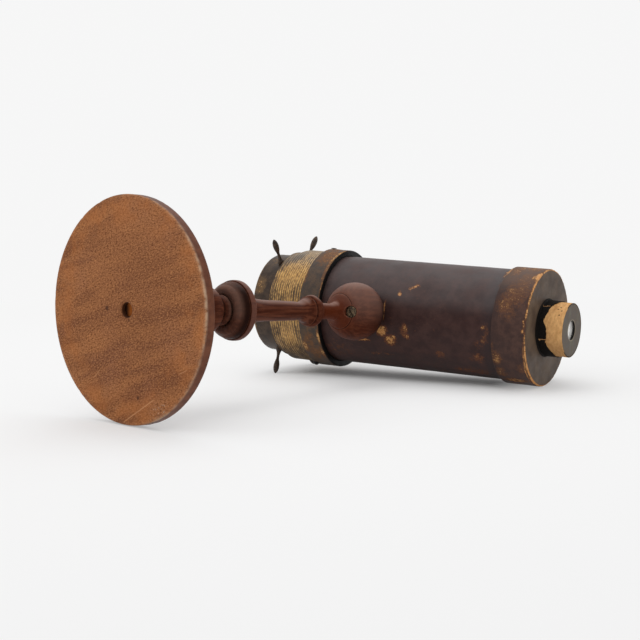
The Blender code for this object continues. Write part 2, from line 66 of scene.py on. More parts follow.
# %% [markdown]
# A turned thing is easiest to describe along its own axis, so each assembly gets a frame. The
# two joints already say where those are: the cell spins about the barrel's axis, and the
# barrel swivels about the screw, square to it. The stand leans away from the screw a little.
# The cell has a frame of its own, because two of its spokes straddle the way down.
# All sizes below are in millimetres.

# %% Frames of the barrel and the stand
mm = 0.001
gap = 0.3                  # between two pieces that touch
barrel_radius = 38.1
seat_depth = 13.3          # from the ball's centre to the flat under the barrel
ball_height = 200.7        # from the underside of the base to the ball's centre
seat_lean_deg = 13.73
seat_skew_deg = 1.87
axis_to_ball = barrel_radius + gap + seat_depth

joints = {joint["name"]: joint for joint in frame["joints"]}
along_barrel = Vector(joints["cell_spin"]["axis"]).normalized()
into_barrel = Vector(joints["barrel_swivel"]["axis"]).normalized()
across_barrel = into_barrel.cross(along_barrel).normalized()
barrel_place = Matrix.Translation(joints["cell_spin"]["pos_m"]) @ Matrix(
    (along_barrel, across_barrel, into_barrel)).transposed().to_4x4()
stand_place = (barrel_place @ Matrix.Translation((0, 0, -axis_to_ball * mm))
               @ Matrix.Rotation(radians(seat_skew_deg), 4, "X")
               @ Matrix.Rotation(radians(seat_lean_deg) - pi / 2, 4, "Y")
               @ Matrix.Translation((-ball_height * mm, 0, 0)))
up_from_floor = (Vector((0, 0, 1)) - along_barrel * along_barrel.z).normalized()
cell_place = Matrix.Translation(joints["cell_spin"]["pos_m"]) @ Matrix(
    (along_barrel, up_from_floor.cross(along_barrel), up_from_floor)).transposed().to_4x4()
print("base centre in mm:", [round(value * 1000, 1) for value in stand_place.translation])

# %% [markdown]
# A lathe makes nearly every piece here. Blender has a Screw modifier and a Spin operator for
# that. The points are worked out with numpy instead, because each ring can then be bent, torn
# or dented by a formula before any face exists. It all starts from an outline, a list of
# stations along the axis with a radius for each. Real corners are soft, so some get rounded.

# %% Outlines
quarter = [pi / 2 * k / 8 for k in range(9)]        # a quarter turn in eighths, for domes


def fine(profile, step):
    """Puts more points along a profile, so that no stretch of it is longer than the step."""
    made = [profile[0]]
    for (x0, r0), (x1, r1) in zip(profile, profile[1:]):
        count = max(1, int(np.ceil(np.hypot(x1 - x0, r1 - r0) / step)))
        made += [(x0 + (x1 - x0) * k / count, r0 + (r1 - r0) * k / count)
                 for k in range(1, count + 1)]
    return made


def softened(profile, corners, steps=5):
    """Rounds the corners of a profile. Corners maps an index to its rounding radius."""
    made = []
    for index, (x, r) in enumerate(profile):
        if index not in corners:
            made.append((x, r))
            continue
        here = Vector((x, r))
        before = (Vector(profile[index - 1]) - here).normalized() * corners[index]
        after = (Vector(profile[(index + 1) % len(profile)]) - here).normalized() * corners[index]
        for step in range(steps + 1):
            turn = pi / 2 * step / steps
            made.append(tuple(here + before * (1 - sin(turn)) + after * (1 - cos(turn))))
    return made


print("points on a line of 10 mm, at a step of 2 mm:", len(fine([(0, 5), (10, 5)], 2)))

# %% [markdown]
# The outline is turned about X, so that each of its points becomes a ring. The turn of a point
# is counted from the way away from the stand. Rings that end in a point, or that meet again,
# leave doubled points, which are joined before the faces are turned out and shaded.

# %% The lathe
sharp_angle = radians(38)


def shade(mesh):
    """Smooth faces, with a crease where two of them meet at a sharp angle."""
    mesh.shade_smooth()
    mesh.set_sharp_from_angle(angle=sharp_angle)


def tidy(mesh):
    """Joins points that lie on each other, turns all faces out and shades the mesh."""
    work = bmesh.new()
    work.from_mesh(mesh)
    bmesh.ops.remove_doubles(work, verts=work.verts, dist=1e-7)
    bmesh.ops.recalc_face_normals(work, faces=work.faces)
    work.to_mesh(mesh)
    work.free()
    shade(mesh)


def placed(name, data, place=None):
    """Puts a mesh, a lamp or a camera into the scene."""
    made = bpy.data.objects.new(name, data)
    bpy.context.scene.collection.objects.link(made)
    if place:
        made.matrix_world = place
    return made


def lathe(name, profile, place, around=160, closed=True, carve=None):
    """Turns a profile of (station, radius) about X. Carve may move the points first."""
    if closed:
        profile = profile + [profile[0]]
    stations, radii = np.array(profile, float).T
    turns = np.arange(around) * 2 * pi / around
    shape = (len(profile), around)
    station = np.broadcast_to(stations[:, None], shape).copy()
    radius = np.broadcast_to(radii[:, None], shape).copy()
    turn = np.broadcast_to(turns[None, :], shape).copy()
    if carve:
        station, radius = carve(station, radius, turn)
    points = np.stack([station, -radius * np.sin(turn), radius * np.cos(turn)], 2) * mm
    index = np.arange(len(profile) * around).reshape(shape)
    ahead = np.roll(index, -1, 1)
    quads = np.stack([index[:-1], index[1:], ahead[1:], ahead[:-1]], 2).reshape(-1, 4)
    mesh = bpy.data.meshes.new(name)
    mesh.from_pydata(points.reshape(-1, 3).tolist(), [], quads.tolist())
    tidy(mesh)
    return placed(name, mesh, place)


print("creases where faces meet at more than", round(sharp_angle * 180 / pi), "degrees")

# %% [markdown]
# Nothing made by hand is quite true. Lumps and dents come from smooth noise on the turned
# surface. A Displace modifier could add them. Here they are a formula that a piece can also
# mix with its wear. Noise by place alone comes out the same in every run.

# %% Lumps and dents
def ripple(station, radius, turn, size, seed=0):
    """Smooth noise from -1 to 1 on a turned surface, with lumps of about the given size."""
    points = np.stack([station, -radius * np.sin(turn), radius * np.cos(turn)], -1) / size
    values = [noise.noise(Vector(point) + Vector((seed, 0, 0)), noise_basis="PERLIN_ORIGINAL")
              for point in points.reshape(-1, 3)]
    return np.array(values).reshape(np.shape(station))


line = np.array([0.0, 5.0, 10.0])
print("ripple at three places of a line:", ripple(line, 20 + 0 * line, 0 * line, 7).round(2))

# %% [markdown]
# Wear belongs to places: a chip at the cap's front edge, a rubbed patch beside the ball. Each
# mark is written as its station, its turn in degrees, its length along the barrel, its width
# around it and how deep it goes. A field over the points holds how worn each one is. The
# shader reads it and breaks its edge up with finer noise, so the mesh can stay coarse.

# %% Fields of wear
def places(piece):
    """Station, radius and turn of each point of a piece, in millimetres and radians."""
    count = len(piece.data.vertices)
    flat = np.zeros(count * 3, np.float32)
    piece.data.vertices.foreach_get("co", flat)
    x, y, z = flat.reshape(-1, 3).T.astype(float) / mm
    return x, np.hypot(y, z), np.arctan2(-y, z)


def swing_from(turn, at_deg):
    """How far a turn is from the one in degrees, the short way round, in radians."""
    return (turn - radians(at_deg) + pi) % (2 * pi) - pi


def turned_by(turn, at_deg, width_deg):
    """A soft bump from 0 to 1 about one turn."""
    return np.exp(-(swing_from(turn, at_deg) / radians(width_deg)) ** 2)


def marked(station, radius, turn, marks):
    """How worn each point is, from 0 to about 1. A mark fades out at twice its size."""
    worn = np.zeros(np.shape(station))
    for at, turn_deg, length, width, depth in marks:
        reach = np.hypot((station - at) / (length / 2),
                         swing_from(turn, turn_deg) * radius / (width / 2))
        worn = np.maximum(worn, depth * np.clip(1.5 - reach * 0.75, 0, 1))
    return worn


def keep_field(piece, name, values):
    """Stores a number for each point, for the shader to read."""
    values = np.broadcast_to(np.asarray(values, np.float32), len(piece.data.vertices))
    layer = piece.data.attributes.new(name, "FLOAT", "POINT")
    layer.data.foreach_set("value", values.copy())


print("wear 0, 2 and 4 mm along from the middle of a 4 mm mark:",
      marked(np.array([0.0, 2.0, 4.0]), 30.0, 0.0, [(0, 0, 4, 4, 1)]))

# %% [markdown]
# A finish is a Principled shader with noises in front of it. The same few moves come back in
# every one: noise of some size, a soft step that turns it into a mask, a layer of colour laid
# on through the mask. They could be wired by hand in the Shader Editor. Here they are short
# calls on two small classes, so that each finish below reads like a recipe. The first class
# wires the nodes of any tree, so it can serve the world's light as well.

# %% A box of brushes
def tint(red, green, blue):
    """A colour of 0 to 255 as linear red, green, blue and alpha."""
    return tuple([(value / 255 / 12.92 if value < 10.3 else ((value / 255 + 0.055) / 1.055) ** 2.4)
                  for value in (red, green, blue)] + [1.0])


class Nodes:
    """Short calls that wire the nodes of a tree."""

    def __init__(self, tree):
        self.tree = tree

    def feed(self, socket, value):
        if isinstance(value, bpy.types.NodeSocket):
            self.tree.links.new(value, socket)
        else:
            socket.default_value = value

    def node(self, kind, inputs, output=0, **settings):
        made = self.tree.nodes.new("ShaderNode" + kind)
        for name, value in settings.items():
            setattr(made, name, value)
        for name, value in inputs.items():
            self.feed(made.inputs[name], value)
        return made.outputs[output]

    def math(self, kind, first, *others):
        """One operation, from the first value on through all the others."""
        for other in others:
            first = self.node("Math", {0: first, 1: other}, operation=kind)
        return first

    def times(self, *values):
        return self.math("MULTIPLY", *values)

    def plus(self, *values):
        return self.math("ADD", *values)

    def size_of(self, value):
        """A number without its sign."""
        return self.node("Math", {0: value}, operation="ABSOLUTE")

    def highest(self, *values):
        return self.math("MAXIMUM", *values)

    def without(self, mask, share=1.0):
        """What a mask leaves, as another mask."""
        return self.math("SUBTRACT", 1.0, self.times(mask, share))

    def step(self, value, low, high, to_low=0.0, to_high=1.0):
        """A soft step: to_low below low, to_high above high."""
        return self.node("MapRange", {"Value": value, "From Min": low, "From Max": high,
                                      "To Min": to_low, "To Max": to_high},
                         interpolation_type="SMOOTHSTEP")

    def mix(self, share, first, second):
        return self.node("Mix", {0: share, 6: first, 7: second}, 2, data_type="RGBA")

    def layered(self, ground, *layers):
        """Lays colours of 0 to 255 over a ground, each through its own mask."""
        for mask, colour in layers:
            ground = self.mix(mask, ground, tint(*colour))
        return ground

    def seen_by_eye(self):
        """1 where a ray comes from the camera, a gloss or a glass, and 0 for the light."""
        ray = self.tree.nodes.new("ShaderNodeLightPath").outputs
        return self.highest(ray["Is Glossy Ray"], ray["Is Transmission Ray"], ray["Is Camera Ray"])


print("a grey of 128 is", round(tint(128, 128, 128)[0], 3), "in linear light")

# %% [markdown]
# The second class is the finish itself: one material, and the masks that depend on a place. A
# place is taken in the piece's own frame, so the pattern stays on the wood when a joint moves.
# Numbers that are the same all over are set on the shader's own sockets.

# %% A finish
class Finish(Nodes):
    """A material with a Principled shader, and the noises and masks for it."""

    def __init__(self, name, roughness=0.5, metallic=0.0, **uniform):
        self.material = bpy.data.materials.new(name)
        self.material.use_nodes = True
        super().__init__(self.material.node_tree)
        self.shader = self.tree.nodes["Principled BSDF"]
        self.set("Roughness", roughness)
        self.set("Metallic", metallic)
        for socket, value in uniform.items():
            self.set(socket.replace("_", " "), value)
        self.here = self.tree.nodes.new("ShaderNodeTexCoord").outputs["Object"]

    def set(self, socket, value):
        self.feed(self.shader.inputs[socket], value)

    def colour_so_far(self):
        return self.shader.inputs["Base Color"].links[0].from_socket

    def overlay(self, *layers):
        """Lays more colours over the one that the shader has so far."""
        self.set("Base Color", self.layered(self.colour_so_far(), *layers))

    def noise(self, size, detail=4.0, stretch=(1, 1, 1), at=(0, 0, 0), rough=0.55, swirl=0.0,
              here=None):
        """Noise whose lumps are about size millimetres, longer along a small stretch."""
        where = self.node("Mapping", {"Vector": here or self.here, "Scale": stretch,
                                      "Location": at})
        return self.node("TexNoise", {"Vector": where, "Scale": 1 / (size * mm), "Detail": detail,
                                      "Roughness": rough, "Distortion": swirl})

    def about_zero(self, noise, share=1.0):
        """Noise moved so that it swings about zero, by a share of its height."""
        return self.times(self.math("SUBTRACT", noise, 0.5), share)

    def field(self, name):
        return self.node("Attribute", {}, "Fac", attribute_name=name)

    def axis(self, letter):
        return self.node("SeparateXYZ", {0: self.here}, letter)

    def off_axis(self):
        """How far the point is from the line that the piece was turned about, in metres."""
        aside = self.node("VectorMath", {0: self.here, 1: (0, 1, 1)}, operation="MULTIPLY")
        return self.node("VectorMath", {0: aside}, "Value", operation="LENGTH")

    def facing(self, letter):
        """How far the surface faces along one of the piece's own axes, from -1 to 1."""
        return self.node("SeparateXYZ", {0: self.here.node.outputs["Normal"]}, letter)

    def spot(self, x, y, z, radius, soft=0.3):
        """A round mask about a point in millimetres."""
        away = self.node("VectorMath", {0: self.here, 1: (x * mm, y * mm, z * mm)}, "Value",
                         operation="DISTANCE")
        return self.step(away, radius * mm * (1 - soft), radius * mm * (1 + soft), 1.0, 0.0)

    def bump(self, height, depth, under=None):
        """Depth is in millimetres for heights from 0 to 1."""
        inputs = {"Height": height, "Strength": 1.0, "Distance": depth * mm}
        if under is not None:
            inputs["Normal"] = under
        return self.node("Bump", inputs)


trial = Finish("trial")
print("nodes of a finish before its recipe:", len(trial.tree.nodes))
bpy.data.materials.remove(trial.material)

# %% [markdown]
# Dressing a piece says three things about it: its finish, the body that it moves with, and the
# plain solids that it stands for. Those are hidden then.

# %% Dressing a piece
def dress(piece, finish, body, slot, *nodes):
    """Gives a piece its finish and its body, and hides the solids that it stands for. The slot is
    not used.
    """
    piece.data.materials.clear()
    piece.data.materials.append(finish.material)
    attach(piece, body)
    if nodes:
        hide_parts(*nodes)


print("solids in the model:", len(frame["nodes"]))

# %% [markdown]
# The dark wood of the stand is stained and polished. A new polish would be the shader's Coat, a
# clear film over brown. This one has been handled until it is nearly matt, so only a trace of
# Coat is left, with a trace of Sheen for the bloom of old wax. Long pale streaks follow the
# grain up the pillar, because their noise is stretched along it.

# %% Finish of the turned stand: the stained wood
polished = Finish("polished_dark_wood", Specular_IOR_Level=0.04, Coat_Weight=0.01,
                  Coat_Roughness=0.3, Sheen_Weight=0.012, Sheen_Roughness=0.45)
streaks = polished.noise(2.2, 6, stretch=(0.09, 1, 1), rough=0.6)
clouds = polished.noise(16, 3, stretch=(0.5, 1, 1), at=(0.3, 0, 0))
pores = polished.noise(0.5, 3, stretch=(0.12, 1, 1))
wood = polished.mix(polished.step(streaks, 0.38, 0.66), tint(66, 29, 16), tint(99, 54, 36))
wood = polished.layered(wood, (polished.step(clouds, 0.4, 0.75, 0, 0.55), (72, 29, 13)))
polished.set("Roughness", polished.step(streaks, 0.3, 0.7, 0.34, 0.5))
polished.set("Normal", polished.bump(polished.step(pores, 0.3, 0.55), 0.03))
print("nodes for the stained wood:", len(polished.tree.nodes))

# %% [markdown]
# Each stretch of the pillar is coloured in its own way. It is deeper orange at the neck, and
# hands have kept the bead's rim pale. The rest is painted light and shade: a painted highlight
# on the bead's shoulder, most on the side that lies up, painted shade in the recess, nearly
# black on the far side under the wide bead, and dark orange at the ball's far end and cheek.
# These layers could be painted by hand on an image. Masks by station need no picture and are
# sharp at any size, so each layer is one mask and one colour.

# %% Finish of the turned stand: the layers by station
station_here, lying_down = polished.axis("X"), polished.axis("Y")
far_side = polished.step(polished.axis("Z"), 0.004, -0.013, 0.25, 1.0)


def stretch_of(start, end, fade):
    """A mask for one stretch of the pillar, in millimetres from the base's underside."""
    return polished.times(
        polished.step(station_here, (start - fade) * mm, (start + fade) * mm),
        polished.step(station_here, (end - fade) * mm, (end + fade) * mm, 1.0, 0.0))


# Painted highlight: the bead's shoulder is paler, most on the side that lies up.
painted_shoulder_highlight = polished.times(stretch_of(74.5, 81.0, 1.5),
                               polished.step(lying_down, -0.001, 0.008, 0.44, 0.14))
# Painted shade: the far side under the wide bead is nearly black.
painted_shade_under_bead = polished.times(stretch_of(76, 84.4, 0.9), far_side,
                          polished.step(station_here, 0.0774, 0.0816, 0, 0.92))
handled_rim = polished.times(stretch_of(84.6, 89.0, 0.3), 0.42)
# Painted shade: the recess about the small ring is darker.
painted_shade_in_recess = polished.times(stretch_of(67.0, 78.0, 0.8),
                           polished.step(polished.off_axis(), 0.0100, 0.0088, 0, 0.4))
amber_neck = polished.times(stretch_of(161, 186, 3), 0.65)
# Painted shade: the ball's far end and its far cheek are dark orange.
painted_shade_at_ball_end = polished.times(stretch_of(209, 225, 4.5), 0.95)
painted_shade_on_cheek = polished.spot(215.5, 4.0, -15.0, 13.0, 0.75)
wood = polished.layered(
    wood, (painted_shoulder_highlight, (126, 100, 88)), (painted_shade_under_bead, (24, 5, 1)), (handled_rim, (118, 84, 74)),
    (painted_shade_in_recess, (48, 20, 11)), (amber_neck, (86, 34, 12)), (painted_shade_at_ball_end, (46, 12, 2)),
    (painted_shade_on_cheek, (40, 9, 1)))
print("nodes with the layers by station:", len(polished.tree.nodes))

# %% [markdown]
# What faces up, as the object lies now, is painted paler, a painted sheen of the light from
# above. Grooves are painted darker, as dirt and painted shade, and sharp beads are rubbed paler,
# and both come from a field of edges that is measured on the mesh below. The end of the tenon
# was never stained. It is painted orange-brown on one side, as painted light, and near black on
# the other, as painted shade. Last come a nick and a pinprick where the neck meets the ball.

# %% Finish of the turned stand: painted sheen and shade, edges and nicks
# Painted sheen of the light from above, on what faces up.
painted_top_sheen = polished.highest(
    polished.times(polished.step(lying_down, 0.012, -0.012, 0, 0.34), stretch_of(184, 209, 5)),
    polished.times(polished.step(polished.facing("Y"), -0.55, -1.0, 0, 0.66),
                   polished.without(stretch_of(71, 86, 2), 0.8)))
rubbed = polished.step(polished.field("edge"), 0.15, 0.9, 0, 0.5)
# Grooves are painted darker, as dirt and painted shade.
groove_dirt_and_shade = polished.times(polished.step(polished.field("edge"), -0.2, -0.9, 0, 0.85),
                      polished.without(stretch_of(174, 183.6, 0.7)))
wood = polished.layered(wood, (painted_top_sheen, (146, 116, 105)), (rubbed, (128, 78, 56)),
                        (groove_dirt_and_shade, (28, 13, 9)))
# The tenon's end: painted light, orange-brown, on one side, and painted shade, near black, on the
# other.
tenon_side = polished.plus(polished.axis("Z"), polished.step(clouds, 0.3, 0.7, -0.001, 0.001))
tenon_end_lit_and_shaded = polished.mix(polished.step(tenon_side, 0.0036, -0.0012), tint(30, 13, 5),
                            tint(140, 76, 26))
wood = polished.mix(polished.step(station_here, 0.0030, 0.0045, 1, 0), wood, tenon_end_lit_and_shaded)
nick, pinprick = polished.spot(178.6, -5.1, 0.8, 0.75), polished.spot(184.4, -5.3, -0.6, 0.5)
polished.set("Base Color", polished.layered(wood, (nick, (18, 8, 5)), (pinprick, (178, 120, 88))))
print("nodes in the whole finish:", len(polished.tree.nodes))

# %% [markdown]
# The pillar is one piece of turning. It has a foot, a recess with a small ring, the wide bead
# that swells over the recess to a thin rounded rim, a slim shaft, a small bead, the neck and
# the ball. The outline is a list of places with the bow of the stretch that leads to each one.
# Bezier curves could draw it. A bowed stretch is a parabola instead, which is quick to work
# out and close to what a gouge leaves. A fine line runs round the ball.

# %% The pillar
bead_radius = 19.2
ball_radius = 19.9
neck_root_share = 0.42
base_centre_thickness = 12.5
base_hole_radius = 4.3
tenon_sunk = 2.6           # how far inside the base's face the tenon ends
pillar_outline_shares = (
    (0.100, 1.100, 0.28), (0.106, 0.900, 0), (0.200, 0.600, -0.16), (0.282, 0.730, -0.06),
    (0.321, 0.750, 0.10), (0.326, 0.715, 0), (0.334, 0.450, -0.10), (0.360, 0.420, 0),
    (0.367, 0.470, 0.10), (0.382, 0.475, 0.20), (0.387, 0.430, 0), (0.386, 0.500, 0.05),
    (0.380, 0.600, 0.10), (0.379, 0.690, 0.05), (0.384, 0.770, 0.06), (0.393, 0.835, 0.05),
    (0.413, 0.945, 0.08), (0.418, 0.955, 0), (0.420, 0.948, 0), (0.421, 0.985, 0.10),
    (0.427, 1.000, 0.04), (0.440, 1.000, 0.02), (0.445, 0.960, 0), (0.456, 0.560, -0.12),
    (0.480, 0.480, -0.06), (0.600, 0.355, -0.03), (0.705, 0.325, 0), (0.742, 0.380, -0.10),
    (0.762, 0.505, -0.10), (0.766, 0.465, 0), (0.770, 0.468, 0), (0.774, 0.528, 0),
    (0.789, 0.528, 0.20), (0.805, 0.400, 0.12), (0.818, 0.300, -0.05), (0.862, 0.275, 0),
    (0.888, 0.305, -0.06), (0.904, 0.385, -0.12),
)


def bowed(rows, scale_x, scale_r, steps=9):
    """Points of an outline of shares. A bowed stretch follows a parabola."""
    made = [(rows[0][0] * scale_x, rows[0][1] * scale_r)]
    for x_share, r_share, bow in rows[1:]:
        x0, r0 = made[-1]
        x1, r1 = x_share * scale_x, r_share * scale_r
        count = steps if bow else 2
        for step in range(1, count + 1):
            share = step / count
            lift = 4 * bow * share * (1 - share)
            made.append((x0 + (x1 - x0) * share - (r1 - r0) * lift,
                         r0 + (r1 - r0) * share + (x1 - x0) * lift))
    return made


foot_at = base_centre_thickness + gap
tenon_radius = base_hole_radius - gap
outline = [(tenon_sunk, 0), (tenon_sunk, tenon_radius), (foot_at, tenon_radius)]
foot_share = pillar_outline_shares[0][1]
outline += bowed(((foot_at / ball_height, foot_share, 0),) + pillar_outline_shares,
                 ball_height, bead_radius)
neck_root = atan2(neck_root_share * bead_radius,
                  sqrt(ball_radius ** 2 - (neck_root_share * bead_radius) ** 2))
line_turn, line_half, line_depth = radians(38), 0.6 / ball_radius, 0.3
arc = [(neck_root + (pi - neck_root) * step / 60, ball_radius) for step in range(1, 60)]
arc = [(turn, radius) for turn, radius in arc if abs(turn - line_turn) > 1.5 * line_half]
arc += [(line_turn - line_half, ball_radius), (line_turn, ball_radius - line_depth),
        (line_turn + line_half, ball_radius)]
outline += [(ball_height - radius * cos(turn), radius * sin(turn)) for turn, radius in sorted(arc)]
outline.append((ball_height + ball_radius, 0))


def turned_by_hand(station, radius, turn):
    """No hand-turned surface is quite true."""
    return station, radius * (1 + 0.004 * ripple(station, radius, turn, 22))


pillar = lathe("turned_pillar", outline, stand_place, 128, closed=False, carve=turned_by_hand)
print("pillar faces before the cuts:", len(pillar.data.polygons))

# %% [markdown]
# The ball's seat and the countersunk hole are cut with Booleans. Moving the points of the ball
# would leave a ragged edge there. Each cutter is a mesh that is thrown away once the Boolean
# has been baked into the pillar, because only real pieces may stay.

# %% The seat and the screw's hole
screw_offset = 6.6
screw_head_radius, screw_head_height = 3.8, 2.8
screw_shank_radius, screw_length, screw_point = 2.2, 44.0, 5.0
screw_sunk = 1.3
head_at = -axis_to_ball - sqrt(ball_radius ** 2 - screw_offset ** 2) + screw_sunk
screw_place = (barrel_place @ Matrix.Translation((screw_offset * mm, 0, head_at * mm))
               @ Matrix.Rotation(-pi / 2, 4, "Y"))
cut_high, cut_before_head, cut_along_shank = 60, -9, 40


def carved(piece, cutters):
    """Cuts other meshes out of a piece, and then removes them."""
    for cutter in cutters:
        change = piece.modifiers.new("cut", "BOOLEAN")
        change.operation, change.solver, change.object = "DIFFERENCE", "EXACT", cutter
    seen = piece.evaluated_get(bpy.context.evaluated_depsgraph_get())
    mesh = bpy.data.meshes.new_from_object(seen)
    piece.modifiers.clear()
    piece.data = mesh
    for cutter in cutters:
        bpy.data.objects.remove(cutter, do_unlink=True)
    shade(mesh)


below = [(barrel_radius + gap, 0), (barrel_radius + gap, cut_high), (0, cut_high), (0, 0)]
seat_cutter = lathe("seat_cutter", below, barrel_place @ Matrix.Rotation(pi / 2, 4, "Y"), 64,
                    closed=False)
hole = [(cut_before_head, 0), (cut_before_head, screw_head_radius + gap),
        (gap, screw_head_radius + gap), (screw_head_height + gap, screw_shank_radius + gap),
        (cut_along_shank, screw_shank_radius + gap), (cut_along_shank, 0)]
carved(pillar, [seat_cutter, lathe("hole_cutter", hole, screw_place, 48, closed=False)])


def edges_of(piece, reach=2.2):
    """How sharply the surface stands out, above 0, or lies in a groove, below 0."""
    work = bmesh.new()
    work.from_mesh(piece.data)
    values = []
    for point in work.verts:
        spread = [(edge.other_vert(point).co - point.co).normalized().dot(point.normal)
                  for edge in point.link_edges]
        values.append(-max(spread, key=abs) if spread else 0)
    work.free()
    return np.clip(np.array(values) * reach, -1, 1)


keep_field(pillar, "edge", edges_of(pillar))
dress(pillar, polished, "stand", "stand_wood", "pillar")
print("pillar faces after the cuts:", len(pillar.data.polygons))

# %% [markdown]
# The base lies on its rim, so its underside faces us: bare wood, flat, with dark pores and
# broad bands of figure. All of that is noise, pulled long in the direction of the grain. Broad
# patches come first and the fine flecks and pores after them, as a painter would lay them.

# %% Finish of the base: bare wood
base_wood = Finish("bare_and_stained_wood", Specular_IOR_Level=0.15)
grain_way = base_wood.node("Mapping", {"Vector": base_wood.here, "Rotation": (radians(19), 0, 0)})
figure = base_wood.noise(9, 4, stretch=(1, 1, 0.2), rough=0.5, swirl=0.4, here=grain_way)
haze = base_wood.noise(30, 2, at=(0.1, 0.2, 0))
fleck = base_wood.noise(0.8, 2, stretch=(1, 1, 0.55), at=(0, 0.5, 0), rough=0.7, here=grain_way)
pore = base_wood.noise(0.9, 3, stretch=(1, 1, 0.52), rough=0.65, here=grain_way)
from_middle = base_wood.off_axis()
sunned = base_wood.times(base_wood.spot(0, -42, -6, 38, 0.8), 0.5)
shaded = base_wood.times(base_wood.spot(0, -8, -14, 33, 0.7), 0.4)
toward_rim = base_wood.times(base_wood.step(from_middle, 0.044, 0.060),
                             base_wood.step(base_wood.noise(16, 3), 0.40, 0.66, 0, 0.38))
bare = base_wood.mix(base_wood.step(figure, 0.36, 0.64), tint(122, 75, 48), tint(160, 104, 64))
bare = base_wood.layered(
    bare, (base_wood.step(haze, 0.45, 0.7, 0, 0.35), (146, 97, 72)), (sunned, (168, 110, 70)),
    (shaded, (110, 66, 40)), (base_wood.step(fleck, 0.47, 0.64, 0, 0.57), (198, 136, 85)),
    (base_wood.step(pore, 0.53, 0.36, 0, 0.78), (94, 49, 22)), (toward_rim, (184, 112, 58)))
base_wood.set("Normal", base_wood.bump(pore, 0.06))
print("nodes for the bare wood:", len(base_wood.tree.nodes))

# %% [markdown]
# Then come the marks of one base and no other: knots, dirt about the hole, painted shade inside
# it, long scratches and a few specks of white paint. They could be scattered by noise, but an
# eye that knows this base looks for them in their places. So each is written down with its
# place on the face and its size, in millimetres.

# %% Finish of the base: its marks
knots = ((0.7, 17.9, 1.4), (50.5, -15.8, 1.2), (6.0, -3.1, 0.75), (9, 22, 0.6))
scratches = (((49.5, -30.5), (66.8, -3.2), 0.5, 0.75), ((44.0, 27.0), (37.5, 20.5), 0.4, 0.5),
             ((29.0, -58.0), (33.0, -50.0), 0.4, 0.55))
paint_specks = ((53.5, -37, 5.5), (57.0, -31, 3.5), (-59.6, -11.0, 0.8), (60.5, 5.0, 2.0))


def stroke(finish, start, end, width):
    """A thin line on the base's face, from one (y, z) to another."""
    start, end = Vector((0, *start)) * mm, Vector((0, *end)) * mm
    length, fade = (end - start).length, 2 * mm
    way = (end - start).normalized()
    side = Vector((0, -way.z, way.y))
    away = finish.node("VectorMath", {0: finish.here, 1: tuple(start)}, operation="SUBTRACT")
    along = finish.node("VectorMath", {0: away, 1: tuple(way)}, "Value", operation="DOT_PRODUCT")
    off = finish.node("VectorMath", {0: away, 1: tuple(side)}, "Value", operation="DOT_PRODUCT")
    between = finish.times(finish.step(along, 0, fade),
                           finish.step(along, length - fade, length, 1, 0))
    return finish.times(between, finish.step(finish.size_of(off), width * mm * 0.4, width * mm,
                                             1, 0))


# Painted shade inside the hole.
painted_shade_in_hole = base_wood.times(base_wood.step(from_middle, 0.0062, 0.0056),
                          base_wood.step(base_wood.axis("X"), 0.0002, 0.0008))
speckle = base_wood.step(base_wood.noise(1.6, 3, at=(0, 0, 0.4), rough=0.7), 0.60, 0.68)
around_hole = base_wood.times(base_wood.spot(0, 0, 0, 6.2, 0.35), 0.3)
for y, z, size in knots:
    knot = base_wood.times(base_wood.spot(0, y, z, size, 0.5), 0.8)
    bare = base_wood.layered(bare, (knot, (70, 40, 26)))
bare = base_wood.layered(bare, (around_hole, (96, 56, 32)), (painted_shade_in_hole, (70, 38, 20)))
for start, end, width, share in scratches:
    scratch = base_wood.times(stroke(base_wood, start, end, width), share)
    bare = base_wood.layered(bare, (scratch, (196, 140, 96)))
for y, z, size in paint_specks:
    white = base_wood.times(base_wood.spot(0, y, z, size, 0.4), speckle, 0.85)
    bare = base_wood.layered(bare, (white, (214, 190, 164)))
print("nodes with the marks:", len(base_wood.tree.nodes))

# %% [markdown]
# Only the side and the top of the base were stained. One finish holds both kinds of wood,
# split by a ragged line just round the edge. Two materials would need a seam in the mesh
# there. The rim is rubbed chalky where a field on the mesh says so.

# %% Finish of the base: stain and rim
level = base_wood.noise(6, 5)
stained = base_wood.mix(base_wood.step(level, 0.3, 0.72), tint(88, 49, 33), tint(112, 66, 44))
stain_edge = base_wood.plus(base_wood.axis("X"), base_wood.step(level, 0.3, 0.7, -3e-4, 3e-4))
outside = base_wood.times(base_wood.step(stain_edge, 0.0004, 0.0012),
                          base_wood.step(from_middle, 0.008, 0.010))
chalk = base_wood.times(base_wood.field("rim"),
                        base_wood.step(base_wood.noise(4.5, 5, rough=0.6), 0.34, 0.62, 0.12, 0.74))
base_wood.set("Base Color", base_wood.mix(outside, bare, stained))
base_wood.overlay((chalk, (200, 170, 142)))
base_wood.set("Roughness", base_wood.step(outside, 0, 1, 0.72, 0.42))
print("nodes in the whole finish:", len(base_wood.tree.nodes))

# %% [markdown]
# The disc has shrunk across its grain, so it is an oval by now. It is turned round and then
# squeezed one way, as the wood was by a hundred dry winters. Its rim has small dents from
# being stood down again and again, and the mouth of its hole is worn to one side.

# %% The base
base_width_along, base_width_across = 142.2, 134.0
base_grain_deg = -62.2
base_rim_thickness = 7.4
rim = base_width_along / 2
disc = softened([(0, base_hole_radius), (0, rim), (base_rim_thickness, rim),
                 (base_centre_thickness, rim / 2), (base_centre_thickness, base_hole_radius)],
                {0: 1.1, 1: 0.9, 2: 1.1})
hole_wear_turn = radians(-73)
chalky_stretches = ((168, 40, 1.15), (142, 22, 0.9), (-40, 46, 0.9), (60, 20, 0.6),
                    (-120, 30, 0.8))
chalk_all_round, chalk_reach, chalk_height = 0.42, 0.8, 1.9


